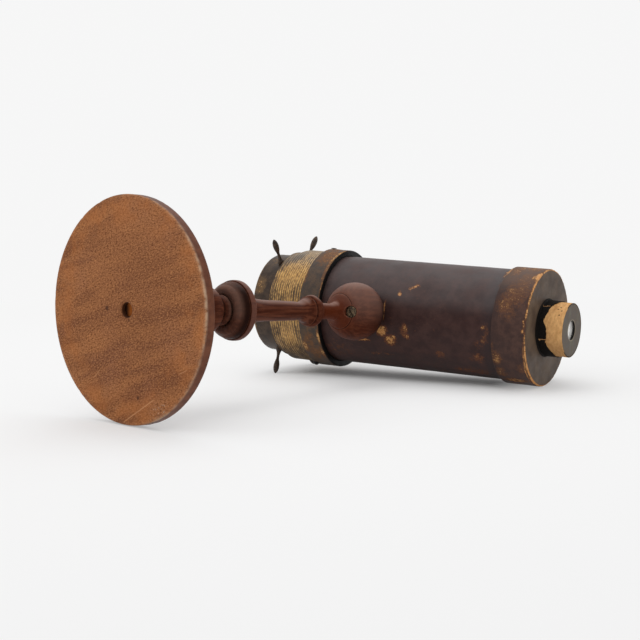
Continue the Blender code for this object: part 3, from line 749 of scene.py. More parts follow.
def stood_down_often(station, radius, turn):
    """Dents in the rim, a worn mouth of the hole, and the last unevenness of the faces."""
    at_rim = np.clip((radius - rim + 2.5) / 2.5, 0, 1)
    dents = np.clip(ripple(station, radius, turn, 3.4, 5) - 0.35, 0, 1)
    radius = radius - at_rim * dents * 0.9
    at_mouth = np.clip(1 - station / 1.6, 0, 1) * np.clip((9 - radius) / 3.5, 0, 1)
    radius = radius + at_mouth * (0.55 + 0.85 * np.cos(turn - hole_wear_turn))
    station = station + 0.05 * ripple(station, radius, turn, 9, 2) * (radius < rim - 1)
    return np.maximum(station, 0), radius


base = lathe("turned_base", fine(disc, 1.6), stand_place, 256, carve=stood_down_often)
from_rim = rim - places(base)[1]
base.data.transform(Matrix.Rotation(radians(base_grain_deg), 4, "X")
                    @ Matrix.Diagonal((1, 1, base_width_across / base_width_along, 1)))
x, _, turn = places(base)
rubbed_chalky = np.full(len(x), chalk_all_round)
for at_deg, reach_deg, share in chalky_stretches:
    rubbed_chalky = np.maximum(rubbed_chalky, np.clip(
        share - np.abs(swing_from(turn, at_deg)) / radians(reach_deg), 0, 1))
keep_field(base, "rim", rubbed_chalky * np.exp(-(from_rim / chalk_reach) ** 2)
           * (x < chalk_height))
dress(base, base_wood, "stand", "base_wood", "base_disc")
print("base faces:", len(base.data.polygons))

# %% [markdown]
# The screw has sat in the ball for a long time. Its head is rusted dark and rough, so the dome
# is dented by noise and the slot is cut last. The finish stays metal, but a dull one.

# %% The screw
rusted = Finish("rusted_iron", metallic=0.4, Specular_IOR_Level=0.3)
scale_noise = rusted.noise(1.1, 5)
rusted.set("Base Color", rusted.mix(rusted.step(scale_noise, 0.4, 0.62), tint(54, 44, 35),
                                    tint(122, 102, 78)))
rusted.set("Roughness", rusted.step(scale_noise, 0.3, 0.7, 0.45, 0.8))
rusted.set("Normal", rusted.bump(scale_noise, 0.25))
dome, head_edge = 0.7, 0.3
slot_size, slot_middle, slot_turn_deg = (1.6, 0.9, 12), -0.4, 62
screw_profile = [(-dome, 0)] + [(-dome * cos(turn) ** 1.2, screw_head_radius * sin(turn))
                                for turn in quarter[1:]]
screw_profile += [(head_edge, screw_head_radius), (screw_head_height, screw_shank_radius),
                  (screw_length - screw_point, screw_shank_radius), (screw_length, 0)]
screw = lathe("barrel_holding_screw", screw_profile, screw_place, 48, closed=False,
              carve=lambda x, r, t: (x + 0.12 * ripple(x, r, t, 1.0) * (x < 0.5), r))
slot_mesh = bpy.data.meshes.new("slot")
work = bmesh.new()
bmesh.ops.create_cube(work, size=1, matrix=Matrix.Translation((slot_middle * mm, 0, 0))
                      @ Matrix.Diagonal((*[size * mm for size in slot_size], 1)))
work.to_mesh(slot_mesh)
work.free()
carved(screw, [placed("slot_cutter", slot_mesh,
                      screw_place @ Matrix.Rotation(radians(slot_turn_deg), 4, "X"))])
dress(screw, rusted, "barrel", "screw_iron", "barrel_screw")
print("screw faces:", len(screw.data.polygons))

# %% [markdown]
# Old leather on pasteboard is thin and hard. It is nearly black-purple where it is whole, goes
# reddish where hands have thinned it, and shows tan where the skin is gone. One recipe serves
# the cover, the cap and the collar, and the cell's worn paint too: two thresholds on the same
# wear field, first the reddish halo and then the tan core. The colours differ, and so does how
# ragged the edges are.

# %% Finish of the leathers
def leather_finish(name, dark, light, thinned, bare_hide, grain=0.5, mottle=9.0, roughness=0.46,
                   blotch=1.3, speckle=0.5, thin_share=0.85):
    """Leather that wears through in two steps. Blotch and speckle make its edges ragged."""
    made = Finish(name, Specular_IOR_Level=0.18)
    fine_grain = made.noise(grain, 4, rough=0.65)
    clouds = made.noise(mottle, 4, at=(0.2, 0.1, 0), rough=0.6)
    ragged = made.noise(2.6, 6, at=(0, 0.3, 0), rough=0.72)
    crisp = made.noise(0.7, 4, at=(0, 0, 0.2), rough=0.7)
    worn = made.plus(made.field("wear"), made.about_zero(ragged, blotch),
                     made.about_zero(crisp, speckle))
    halo = made.step(worn, 0.18, 0.5, 0, thin_share)
    core = made.step(worn, 0.55, 0.72)
    hide = made.mix(made.step(crisp, 0.4, 0.65), tint(*bare_hide), tint(217, 168, 110))
    colour = made.mix(made.step(clouds, 0.35, 0.68), tint(*dark), tint(*light))
    colour = made.layered(colour, (made.step(fine_grain, 0.52, 0.34, 0, 0.4), (28, 20, 19)),
                          (halo, thinned))
    made.set("Base Color", made.mix(core, colour, hide))
    made.set("Roughness", made.plus(
        made.step(clouds, 0.3, 0.7, roughness - 0.04, roughness + 0.08), made.times(halo, 0.25)))
    made.set("Normal", made.bump(made.without(core), 0.12, under=made.bump(fine_grain, 0.05)))
    return made


cover_leather = leather_finish("cover_leather", (54, 34, 32), (70, 47, 43), (112, 68, 42),
                               (188, 124, 68), blotch=1.5, speckle=1.0)
cap_leather = leather_finish("cap_leather", (64, 45, 41), (84, 60, 52), (114, 74, 48),
                             (202, 134, 74), mottle=6.0, roughness=0.5, blotch=1.0,
                             speckle=1.3, thin_share=0.7)
collar_leather = leather_finish("collar_leather", (70, 61, 55), (92, 74, 60), (122, 82, 52),
                                (196, 146, 92), mottle=5.0, roughness=0.5, blotch=1.1,
                                speckle=1.0, thin_share=0.8)
print("nodes in the cover's leather:", len(cover_leather.tree.nodes))

# %% [markdown]
# All stations along the barrel are counted from its seat on the ball: negative toward the
# cell, positive toward the eye. Each piece starts where the one before it ends, with the gap
# between them, so a length that changes moves the rest along.

# %% Where the barrel's pieces begin and end
front_to_seat, seat_to_cap_face = 93.4, 120.6
cell_head_length, band_length, collar_length, cap_length = 15.2, 27.0, 16.0, 24.3
cell_front = -front_to_seat
cell_head_back = cell_front + cell_head_length
band_front = cell_head_back + gap
collar_front = band_front + band_length + gap
collar_back = collar_front + collar_length
cap_face = seat_to_cap_face
cap_mouth = cap_face - cap_length
cap_face_thickness = 2.5
cover_thickness = 0.5
tube_outer = barrel_radius - cover_thickness - gap
tube_end = cap_face - cap_face_thickness - gap
print("barrel from the cell's front to the cap's face, in mm:", round(cap_face - cell_front, 1))

# %% [markdown]
# The cover is one sheet, pasted round the tube. Its places of wear are the ones that the
# camera sees, and a few more on the hidden side, because leather wears all round. A worn spot
# also lies deeper, by the thickness that has gone. The side that lies up is painted paler, a
# painted sheen of the light from above, and a darker stretch goes before the cap.

# %% The barrel's cover
cover_marks = (
    (31.6, 150.8, 2.2, 1.6, 0.80), (33.2, 149.2, 2.4, 1.4, 0.78), (34.8, 147.4, 2.4, 1.4, 0.80),
    (36.4, 145.7, 2.2, 1.6, 0.76), (25.0, 158.0, 2.2, 2.2, 0.80), (24.2, 156.0, 1.5, 2.8, 0.55),
    (13.8, -161.0, 6.0, 6.0, 0.85), (15.0, -164.0, 4.0, 4.0, 0.7), (19.5, -152.0, 6.2, 5.8, 0.74),
    (22.0, -155.5, 4.4, 3.2, 0.60), (31.0, -166.0, 4.6, 6.0, 0.54),
    (33.4, -158.2, 2.4, 3.6, 0.70), (30.4, -161.0, 5.0, 4.0, 0.40),
    (-4.0, -149.5, 9.5, 1.5, 1.15), (5.0, -131.7, 7.0, 2.0, 0.38), (14.2, -132.5, 8.0, 1.6, 0.30),
    (56.6, -141.3, 6.0, 6.0, 0.34), (89.7, -175.8, 2.4, 2.4, 0.60),
    (90.8, -163.2, 4.4, 5.0, 0.46), (86.3, -157.0, 4.0, 6.0, 0.30),
    (84.4, -141.2, 8.0, 7.0, 0.34), (67.8, -119.3, 4.0, 3.0, 0.42),
    (-23.3, -133.4, 16.0, 12.0, 0.22), (92.4, -170.6, 3.0, 7.0, 0.40),
    (78.0, -118.0, 20.0, 7.0, 0.3), (94.4, 111.5, 2.2, 3.0, 0.95), (94.8, 120.0, 2.0, 5.0, 0.70),
    (94.8, 136.0, 1.6, 4.0, 0.45), (14.9, 174.0, 0.9, 8.0, 0.75), (15.1, -177.5, 0.9, 4.0, 0.75),
    (40.0, 60.0, 9.0, 5.0, 0.5), (70.0, 20.0, 14.0, 8.0, 0.45), (-10.0, -60.0, 12.0, 9.0, 0.4),
    (60.0, -40.0, 7.0, 4.0, 0.6), (5.0, 40.0, 3.0, 3.0, 0.75), (85.0, 75.0, 5.0, 4.0, 0.5),
    (30.0, -95.0, 16.0, 6.0, 0.4),
)
cover_outline = [(collar_front, tube_outer + gap), (collar_front, barrel_radius),
                 (tube_end, barrel_radius), (tube_end, tube_outer + gap)]


def pasted(station, radius, turn):
    """The sheet follows small lumps of the tube, and is thinner where it is worn."""
    outside = radius > barrel_radius - 0.1
    lumps = 0.10 * ripple(station, radius, turn, 17, 3) + 0.03 * ripple(station, radius, turn, 4, 8)
    worn = marked(station, radius, turn, cover_marks)
    return station, radius + outside * (lumps - 0.1 - 0.18 * np.clip(worn - 0.4, 0, 0.4))


by_the_cap = cover_leather.step(cover_leather.axis("X"), (cap_mouth - 11.3) * mm,
                                (cap_mouth - 2.3) * mm, 0, 0.45)
# Painted sheen: the side of the cover that lies up is paler.
painted_sheen_on_cover_top = cover_leather.times(
    cover_leather.step(cover_leather.axis("Y"), -0.004, -0.015, 0, 0.062),
    cover_leather.step(cover_leather.noise(22, 3), 0.3, 0.6, 0.6, 1.0))
cover_leather.overlay((by_the_cap, (46, 38, 40)), (painted_sheen_on_cover_top, (206, 204, 204)))
cover = lathe("leather_cover", fine(cover_outline, 1.2), barrel_place, 224, carve=pasted)
keep_field(cover, "wear", marked(*places(cover), cover_marks))
dress(cover, cover_leather, "barrel", "leather", "barrel_cover")
print("cover faces:", len(cover.data.polygons))

# %% [markdown]
# The gilt band is ribbed all round with fine raised lines that wander a little. The lines keep
# their gold while the hollows between them are dark, and that gold on their crests is partly a
# painted highlight. So the field that lifts a line on the mesh also gilds it in the shader, and a
# second noise takes the gold off in patches. The top of the band is painted paler, a painted
# sheen, and its bottom darker, a painted shade.

# %% Finish of the gilt band
gilding = Finish("rubbed_gilding", Specular_IOR_Level=0.3)
rib_field = gilding.field("rib")
patches = gilding.noise(6.5, 6, stretch=(1, 0.5, 0.5), rough=0.7)
fret = gilding.noise(0.9, 5, stretch=(1.5, 0.36, 0.36), rough=0.7)
rich = gilding.plus(gilding.field("rich"), gilding.about_zero(patches))
# The ribs add gold where they stand, partly a painted highlight on their crests.
shown = gilding.plus(gilding.times(rich, 1.1), gilding.times(rib_field, 0.62),
                     gilding.about_zero(fret, 1.35))
lit = gilding.step(shown, 0.34, 1.12)
gold = gilding.mix(gilding.step(fret, 0.38, 0.62), tint(168, 121, 62), tint(216, 172, 104))
ground = gilding.mix(gilding.step(patches, 0.40, 0.6), tint(72, 57, 45), tint(120, 96, 70))
# Painted sheen: the top of the band is paler.
painted_sheen_on_band_top = gilding.times(gilding.step(gilding.axis("Y"), -0.024, -0.040, 0, 0.55),
                          gilding.step(rib_field, 0.1, 0.8, 0.25, 1.0))
# Painted shade: the bottom of the band is darker.
painted_shade_below_band = gilding.step(gilding.axis("Y"), 0.027, 0.040, 0, 0.5)
gilding.set("Base Color", gilding.mix(lit, ground, gold))
gilding.overlay((painted_sheen_on_band_top, (190, 178, 158)), (painted_shade_below_band, (48, 37, 28)))
gilding.set("Metallic", gilding.times(lit, 0.25))
gilding.set("Roughness", gilding.step(lit, 0, 1, 0.62, 0.42))
gilding.set("Normal", gilding.bump(fret, 0.12))
print("nodes in the gilding:", len(gilding.tree.nodes))

# %% [markdown]
# Each line of the band is real relief. A displacement texture would do for lines that run
# straight. These wander and break off, and the band's front edge has worn back above and
# below, so the height of the lines is a formula of station and turn.

# %% The gilt band
band_thickness, front_wear_depth = 2.9, 2.3
band_radius = tube_outer + gap + band_thickness
rib_pitch, rib_relief = 1.75, 0.26


def rib_height(station, turn):
    """How high the ribs stand, from 0 to 1. Noise on a thin cylinder changes slowly with turn."""
    wander = 0.9 * ripple(station, 14 + 0 * station, turn, 7, 11)
    wander += 0.9 * ripple(station * 0.2, 9 + 0 * station, turn, 4, 4)
    wave = 0.5 + 0.5 * np.cos((station + wander) * 2 * pi / rib_pitch)
    broken = 0.78 + 0.5 * ripple(station * 0.4, 16 + 0 * station, turn, 3.2, 23)
    return np.clip(wave ** 1.4 * broken, 0, 1)


def worn_front(station, turn):
    """How far the band's front edge has been rubbed down, from 0 to 1."""
    reach = 0.9 + 10.4 * turned_by(turn, 96, 34) + 5.8 * turned_by(turn, -112, 34)
    share = np.clip(1.3 * (1 - (station - band_front) / reach), 0, 1)
    return share * share * (3 - 2 * share)


def ribbed(station, radius, turn):
    """Raises the ribs, and wears the front edge down."""
    worn_down = worn_front(station, turn)
    ribs = np.clip(1.15 - 2.5 * worn_down, 0, 1)
    ribs *= np.clip((band_front + band_length - 0.4 - station) / 0.5, 0, 1)
    thick = np.clip((radius - tube_outer - gap) / band_thickness, 0, 1)
    outside = radius > band_radius - 0.05
    lift = outside * (rib_relief * rib_height(station, turn) * ribs - rib_relief)
    lift = lift - front_wear_depth * thick * worn_down
    return station, radius + lift + 0.05 * thick * ripple(station, radius, turn, 8, 6)


ring = softened([(band_front, tube_outer + gap), (band_front, band_radius),
                 (band_front + band_length, band_radius),
                 (band_front + band_length, tube_outer + gap)], {1: 0.8})
gilt_band = lathe("gilt_ribbed_band", fine(ring, 0.24), barrel_place, 256, carve=ribbed)
print("band faces:", len(gilt_band.data.polygons))

# %% [markdown]
# Two fields go with the relief. One says where a rib stands, and one how rich the gold still
# is: marks add to it, and the rubbed front, the side that fingers hold and a strip along the
# top take from it. Less gold there lets the top read grey, as a painted reflection. A thin line
# of gold has stayed along the front edge, on the side that faces the stand.

# %% Where the band's gold has stayed
rich_places = (
    (-65, 152, 17, 36, 0.52), (-62, -168, 24, 60, 0.45), (-58, 118, 16, 36, 0.42),
    (-66, 178, 26, 40, 0.40), (-64, -135, 24, 40, 0.2), (-66, 20, 26, 60, 0.4),
    (-57, 143, 14, 26, 0.55), (-70, -150, 10, 26, 0.40), (-60, -60, 26, 60, 0.35),
)
x, r, turn = places(gilt_band)
worn_down = worn_front(x, turn)
front_line = np.exp(-((x - band_front - 0.9) / 0.45) ** 2) * (np.abs(turn) > radians(112))
rubbed_front = 0.95 * np.clip(worn_down * 1.6, 0, 1) * (1 - front_line)
handled_most = turned_by(turn, 112, 17) * np.clip((band_front + 15 - x) / 8, 0, 1)
keep_field(gilt_band, "rib", np.maximum(rib_height(x, turn) * (worn_down < 0.1), front_line))
# Less gold along the top lets the top read grey, as a painted reflection.
keep_field(gilt_band, "rich", marked(x, r, turn, rich_places) - rubbed_front
           - 0.4 * turned_by(turn, 90, 17) - 0.95 * handled_most)
dress(gilt_band, gilding, "barrel", "gilt_leather", "gilt_band")
print("share of the band that is worn down:", round(float((worn_down > 0.5).mean()), 3))

# %% [markdown]
# The collar is a thick ring of leather-covered board over the joint of band and cover. Its
# sharp corners are rubbed pale, and its far face, which nothing rubs, has stayed black. The
# leather swells a little over the heads of the two pins that go through it.

# %% The collar
collar_inner = barrel_radius + gap
collar_radius = collar_inner + 4.1
pin_from_collar_front, swelling_length = 2.6, 3.6
pins = (("collar_pin", 94, 0.6, 0.3),       # name, turn, height of its head, swelling over it
        ("collar_pin_lower", -110, 2.0, 1.1))
collar_marks = (
    (-36.2, 125.0, 1.6, 26.0, 0.62), (-36.4, 146.0, 1.3, 10.0, 0.50),
    (-35.6, -150.0, 2.2, 9.0, 0.72), (-36.0, -131.0, 2.4, 10.0, 0.66),
    (-41.0, 118.0, 12.0, 20.0, 0.46), (-45.0, 101.0, 12.0, 16.0, 0.42),
    (-48.6, -137.5, 4.0, 8.0, 0.66), (-43.9, -146.0, 8.0, 12.0, 0.40),
    (-42.0, -131.0, 9.0, 12.0, 0.44), (-49.6, 150.0, 1.2, 10.0, 0.45),
    (-35.0, 112.0, 0.9, 20.0, 0.72), (-35.0, 137.0, 0.8, 18.0, 0.60),
    (-35.1, 160.0, 0.9, 14.0, 0.55), (-35.0, -165.0, 0.9, 14.0, 0.5),
    (-42.0, -166.0, 9.0, 9.0, 0.4), (-40.0, 60.0, 9.0, 20.0, 0.45),
    (-46.0, -60.0, 12.0, 20.0, 0.4), (-36.0, 10.0, 2.0, 30.0, 0.6),
    (-36.0, -70.0, 1.6, 30.0, 0.6), (-49.5, -20.0, 2.0, 26.0, 0.55), (-44.0, 0.0, 8.0, 14.0, 0.5),
)
ring = softened([(collar_front, collar_inner), (collar_front, collar_radius),
                 (collar_back, collar_radius), (collar_back, collar_inner)], {1: 0.9, 2: 0.8})


def wrapped(station, radius, turn):
    """Lumps under the leather, and a swelling of it about each pin."""
    outside = radius > collar_inner + 0.5
    lumps = 0.16 * ripple(station, radius, turn, 7, 9) + 0.05 * ripple(station, radius, turn, 2, 1)
    along = (station - collar_front - pin_from_collar_front) / swelling_length
    for _, pin_turn, _, lift in pins:
        lumps = lumps + lift * turned_by(turn, pin_turn, 6.5) * np.exp(-along ** 2)
    return station, radius + outside * (lumps - 0.1)


collar = lathe("leather_collar", fine(ring, 0.8), barrel_place, 224, carve=wrapped)
x, r, turn = places(collar)
keep_field(collar, "wear", marked(x, r, turn, collar_marks))
keep_field(collar, "unrubbed_face_and_shaded_pin", np.clip((x - collar_back + 0.5) / 0.35, 0, 1))
collar_leather.overlay((collar_leather.field("unrubbed_face_and_shaded_pin"), (14, 12, 12)))
dress(collar, collar_leather, "barrel", "leather", "collar")
print("collar faces:", len(collar.data.polygons))

# %% [markdown]
# The two pins, one above and one below, keep the cell from sliding out. Each has a thin shank
# that reaches the groove in the cell's neck, and ends in a small dome under the leather. The
# lower dome is painted as black as the collar's far face, as painted shade on the underside.

# %% The collar's pins
pin_head_radius, pin_shank_radius, pin_reach_radius = 2.1, 0.9, 32.6
skin_wear = 0.12           # of the small pieces that are worn all over and nowhere through
shank_end = collar_radius - pin_reach_radius
pin = [(-shank_end, 0), (-shank_end, pin_shank_radius), (0, pin_shank_radius),
       (0, pin_head_radius)]
for name, turn_deg, head_height, _ in pins:
    head = [(head_height * sin(turn), pin_head_radius * cos(turn) ** 0.6)
            for turn in quarter[1:-1]] + [(head_height, 0)]
    pin_place = (barrel_place @ Matrix.Rotation(radians(turn_deg), 4, "X")
                 @ Matrix.Translation(((collar_front + pin_from_collar_front) * mm, 0,
                                       (collar_radius + gap) * mm))
                 @ Matrix.Rotation(-pi / 2, 4, "Y"))
    pin_head = lathe(name + "_head", pin + head, pin_place, 32, closed=False)
    keep_field(pin_head, "wear", skin_wear)
    # The lower pin's head is painted black, as painted shade on the underside.
    keep_field(pin_head, "unrubbed_face_and_shaded_pin", float(turn_deg < 0))
    dress(pin_head, collar_leather, "barrel", "leather", name)
    print(name, "faces:", len(pin_head.data.polygons))

# %% [markdown]
# The eye end wears a cap of the same leather. Hands have held the tube here, so it is the
# brownest part of all. Its front corner is rubbed through to tan in a line that comes and
# goes, and doubles low down where the edge of the side leather lifts from the face.

# %% The eye cap
cap_inner, cap_radius = barrel_radius + gap, barrel_radius + gap + 1.7
spigot_radius = 15.0
cap_marks = (
    (119.9, 121.0, 3.4, 9.0, 0.95), (118.0, 124.0, 5.0, 6.0, 0.62),
    (120.3, 137.0, 1.1, 12.0, 0.80), (120.4, 153.0, 1.1, 12.0, 0.68),
    (120.3, 166.0, 1.2, 9.0, 0.70), (119.1, 174.7, 1.4, 2.2, 0.68),
    (118.8, -175.9, 1.6, 2.6, 0.70), (119.6, 179.0, 1.2, 3.0, 0.62),
    (120.3, -168.0, 0.9, 8.0, 0.62), (120.4, -152.0, 1.0, 14.0, 0.82),
    (118.9, -148.0, 0.7, 18.0, 0.72), (120.4, -133.0, 1.2, 16.0, 0.86),
    (118.6, -128.0, 0.8, 20.0, 0.74), (120.3, -110.0, 1.5, 20.0, 0.95),
    (120.4, 103.0, 1.1, 14.0, 0.72), (110.0, 147.0, 15.0, 16.0, 0.44),
    (104.0, 160.0, 10.0, 12.0, 0.46), (113.0, 130.0, 12.0, 16.0, 0.38),
    (101.0, 104.0, 9.0, 22.0, 0.50), (108.0, 168.0, 9.0, 8.0, 0.34),
    (99.0, -146.0, 6.0, 9.0, 0.58), (99.8, -127.0, 7.0, 9.0, 0.48),
    (108.3, -113.4, 14.0, 6.0, 0.60), (97.2, -157.0, 2.0, 8.0, 0.45),
    (96.7, 115.0, 1.6, 9.0, 1.05), (112.0, 100.0, 14.0, 14.0, 0.5),
    (116.0, -135.0, 6.0, 8.0, 0.34), (120.3, 40.0, 1.8, 36.0, 0.75),
    (120.3, -40.0, 1.8, 40.0, 0.70), (120.3, 80.0, 1.5, 18.0, 0.8),
    (105.0, 30.0, 12.0, 20.0, 0.45), (110.0, -60.0, 10.0, 18.0, 0.5), (97.0, 0.0, 2.0, 20.0, 0.5),
    (102.0, -90.0, 14.0, 14.0, 0.5), (120.4, -85.0, 1.6, 26.0, 0.8), (120.4, 0.0, 1.4, 30.0, 0.7),
)
cap = [(cap_mouth, cap_inner), (cap_mouth, cap_radius), (cap_face, cap_radius),
       (cap_face, spigot_radius + gap), (cap_face - cap_face_thickness, spigot_radius + gap),
       (cap_face - cap_face_thickness, cap_inner)]
cap = softened(cap, {1: 0.5, 2: 0.8})


def handled(station, radius, turn):
    """Lumps under the leather, a nibbled front corner and a lifted edge near it."""
    outside = radius > cap_inner + 0.6
    lumps = 0.10 * ripple(station, radius, turn, 9, 21)
    lumps = lumps + 0.05 * ripple(station, radius, turn, 2.5, 7)
    worn = marked(station, radius, turn, cap_marks)
    corner = np.exp(-((station - cap_face) ** 2 + (radius - cap_radius) ** 2) / 1.2)
    groove = np.exp(-((station - cap_face + 1.5) / 0.35) ** 2) * (worn > 0.25)
    nibble = corner * (0.25 + 0.35 * worn) * (0.6 + ripple(station, radius, turn, 1.6, 13))
    return station, radius + outside * (lumps - 0.12 - 0.2 * groove - nibble)


eye_cap = lathe("leather_eye_cap", fine(cap, 0.7), barrel_place, 256, carve=handled)
x, r, turn = places(eye_cap)
on_face = (x > cap_face - 0.7) & (r < cap_radius - 1.2)
keep_field(eye_cap, "wear", np.where(on_face, 0.0, marked(x, r, turn, cap_marks)))
keep_field(eye_cap, "face", on_face)
dress(eye_cap, cap_leather, "barrel", "leather", "eye_cap")
print("cap faces:", len(eye_cap.data.polygons))

# %% [markdown]
# The cap's leather gets what only the cap has: a darker mouth next to the cover, a painted
# sheen on the side that lies up, and a flat face of its own greyer colour. The face could be a
# second material. A field on the mesh picks it out instead, and one material stays one slot.

# %% The cap's own colours
by_the_mouth = cap_leather.step(cap_leather.axis("X"), (cap_mouth + 0.5) * mm,
                                (cap_mouth + 7.2) * mm, 0.42, 0)
# Painted sheen: the top of the cap is paler.
painted_sheen_on_cap_top = cap_leather.step(cap_leather.axis("Y"), -0.018, -0.036, 0, 0.08)
cap_leather.overlay((by_the_mouth, (50, 37, 36)), (painted_sheen_on_cap_top, (206, 176, 148)))
smudge = cap_leather.step(cap_leather.noise(14, 3, at=(0.5, 0, 0)), 0.38, 0.66)
face_colour = cap_leather.mix(smudge, tint(76, 62, 52), tint(101, 84, 69))
cap_leather.set("Base Color", cap_leather.mix(cap_leather.field("face"),
                                              cap_leather.colour_so_far(), face_colour))
print("nodes in the cap's leather:", len(cap_leather.tree.nodes))

# %% [markdown]
# The eyepiece is a small drum of tan pasteboard. A spigot goes back through the cap's face,
# and a seat in its bore holds the lens. Card is dull and fibrous, so one stretched noise gives
# both its colour and its bump. Its end is sooty all round but for one side.

# %% The eyepiece's card
eyepiece_radius, eyepiece_length = 19.1, 17.4
eye_face = cap_face + eyepiece_length
eye_disc_thickness, eye_hole_radius = 1.3, 6.6
paper_thickness, disc_rim = 0.4, 0.5
lens_edge, lens_room, lens_dome = 1.6, 0.6, 0.3
bore_radius, lens_radius, spigot_length = 8.5, 10.8, 8.5
disc_back = eye_face - eye_disc_thickness
card_radius = eyepiece_radius - paper_thickness - gap
disc_radius = card_radius - disc_rim - gap
card_front = disc_back - gap
lens_seat = card_front - lens_edge - lens_room - gap
card_specks = ((133.3, 126.3), (134.2, 148.5), (134.9, 137.0), (132.2, 133.0))

pasteboard = Finish("bare_pasteboard", roughness=0.85, Specular_IOR_Level=0.2)
fibre = pasteboard.noise(1.3, 5, stretch=(1, 0.4, 0.4), rough=0.7)
stain = pasteboard.step(pasteboard.noise(7, 3), 0.5, 0.75, 0, 0.5)
# The card is darker low down.
darker_low_down = pasteboard.step(pasteboard.axis("Y"), 0.003, 0.015, 0, 0.45)
pasteboard.set("Base Color", pasteboard.mix(pasteboard.step(fibre, 0.35, 0.65),
                                            tint(204, 152, 96), tint(230, 180, 120)))
pasteboard.overlay((stain, (156, 104, 58)), (darker_low_down, (124, 88, 56)))
for at, turn_deg in card_specks:
    speck = pasteboard.spot(at, -card_radius * sin(radians(turn_deg)),
                            card_radius * cos(radians(turn_deg)), 0.55, 0.5)
    pasteboard.overlay((pasteboard.times(speck, 0.8), (60, 44, 30)))
pasteboard.overlay((pasteboard.field("soot"), (58, 46, 36)))
pasteboard.set("Normal", pasteboard.bump(fibre, 0.07))

card = [(cap_face - spigot_length, bore_radius), (cap_face - spigot_length, spigot_radius),
        (cap_face + gap, spigot_radius), (cap_face + gap, card_radius), (eye_face, card_radius),
        (eye_face, disc_radius + gap), (card_front, disc_radius + gap),
        (card_front, lens_radius + gap), (lens_seat, lens_radius + gap), (lens_seat, bore_radius)]


def soft_card(station, radius, turn):
    """Small lumps where the card shows, and none on the spigot."""
    outside = radius > spigot_radius + 1
    return station, radius + outside * (0.10 * ripple(station, radius, turn, 2.5, 3) - 0.02)


drum = lathe("eyepiece_drum", fine(softened(card, {4: 0.25}), 0.8), barrel_place, 160,
             carve=soft_card)
x, _, turn = places(drum)
keep_field(drum, "soot", (x > eye_face - 0.2) * (np.abs(turn) < radians(128)))
dress(drum, pasteboard, "barrel", "pasteboard", "eyepiece_card")
print("eyepiece faces:", len(drum.data.polygons))

# %% [markdown]
# The drum was once covered in black paper, which has torn off toward the eye and left a ragged
# border. Blender's cloth doesn't tear, and a Boolean would need a cutter with the same ragged
# edge. So the paper is turned like the rest, and each of its points is then moved along to
# where the tear runs at that turn. At its foot it flares out onto the cap's face, most toward
# one side.

# %% The torn black paper
torn_edge = (
    (-180, 127.0), (-161.6, 127.1), (-150, 126.5), (-139, 127.2), (-118.5, 129.8), (-90, 130.2),
    (-60, 131.4), (-30, 129.6), (0, 130.8), (30, 129.2), (60, 131.0), (90, 130.4), (110, 129.2),
    (118.8, 127.6), (132, 126.2), (145.1, 125.9), (158, 124.6), (165.4, 124.4), (173, 126.0),
    (180, 127.0),
)
tear_turns, tear_stations = np.array(torn_edge).T
paper_start = cap_face + gap
longest = tear_stations.max() - paper_start
foot_length, foot_flare = 0.8, 2.6
paper_marks = (
    (122.4, 129.8, 4.2, 0.8, 0.62), (125.0, 127.0, 4.0, 0.7, 0.66),
    (122.6, -156.1, 1.4, 1.2, 0.8), (125.0, -157.0, 4.6, 0.7, 0.66),
    (126.6, -151.0, 1.2, 1.6, 0.7), (125.0, 20.0, 2.0, 2.0, 0.7),
)


def torn(station, radius, turn):
    """Stretches the paper to the tear, which is ragged as well."""
    degrees_here = (np.degrees(turn) + 180) % 360 - 180
    edge = np.interp(degrees_here, tear_turns, tear_stations)
    edge = edge + 0.35 * ripple(0 * station, radius, turn, 1.1, 17)
    share = (station - paper_start) / longest
    foot = np.clip(1 - (station - paper_start) / foot_length, 0, 1) * (radius > eyepiece_radius)
    radius = radius + foot_flare * foot * turned_by(turn, 166, 58)
    lifted = np.clip(ripple(0 * station, radius, turn, 3, 5), 0, 1)
    curl = 0.25 * np.clip(share - 0.85, 0, 1) / 0.15 * lifted
    return paper_start + share * (edge - paper_start), radius + curl


paper = [(paper_start, card_radius + 0.12), (paper_start, eyepiece_radius + 0.5),
         (paper_start + 0.3, eyepiece_radius + 0.4), (paper_start + foot_length, eyepiece_radius),
         (paper_start + longest, eyepiece_radius - 0.15),
         (paper_start + longest, card_radius + 0.12)]
black_paper = Finish("black_paper", roughness=0.7, Specular_IOR_Level=0.12)
paper_fibre = black_paper.noise(0.9, 5, rough=0.7)
scuffed = black_paper.step(black_paper.plus(black_paper.field("wear"),
                                            black_paper.about_zero(paper_fibre)), 0.5, 0.68)
black_paper.set("Base Color", black_paper.mix(black_paper.step(paper_fibre, 0.4, 0.7),
                                              tint(9, 7, 6), tint(30, 25, 21)))
black_paper.overlay((scuffed, (196, 146, 98)))
black_paper.set("Normal", black_paper.bump(paper_fibre, 0.08))
wrapper = lathe("torn_black_paper", fine(paper, 0.7), barrel_place, 240, carve=torn)
keep_field(wrapper, "wear", marked(*places(wrapper), paper_marks))
dress(wrapper, black_paper, "barrel", "black_paper", "eyepiece_paper")
print("paper faces:", len(wrapper.data.polygons))

# %% [markdown]
# A disc of tarnished metal closes the eyepiece. The rim of its hole is painted bright, and its
# outer edge a little, and the wall of the hole is painted dark, as painted shade. Behind it sits
# the lens, painted near white over its own gloss, a painted reflection of the pale room.

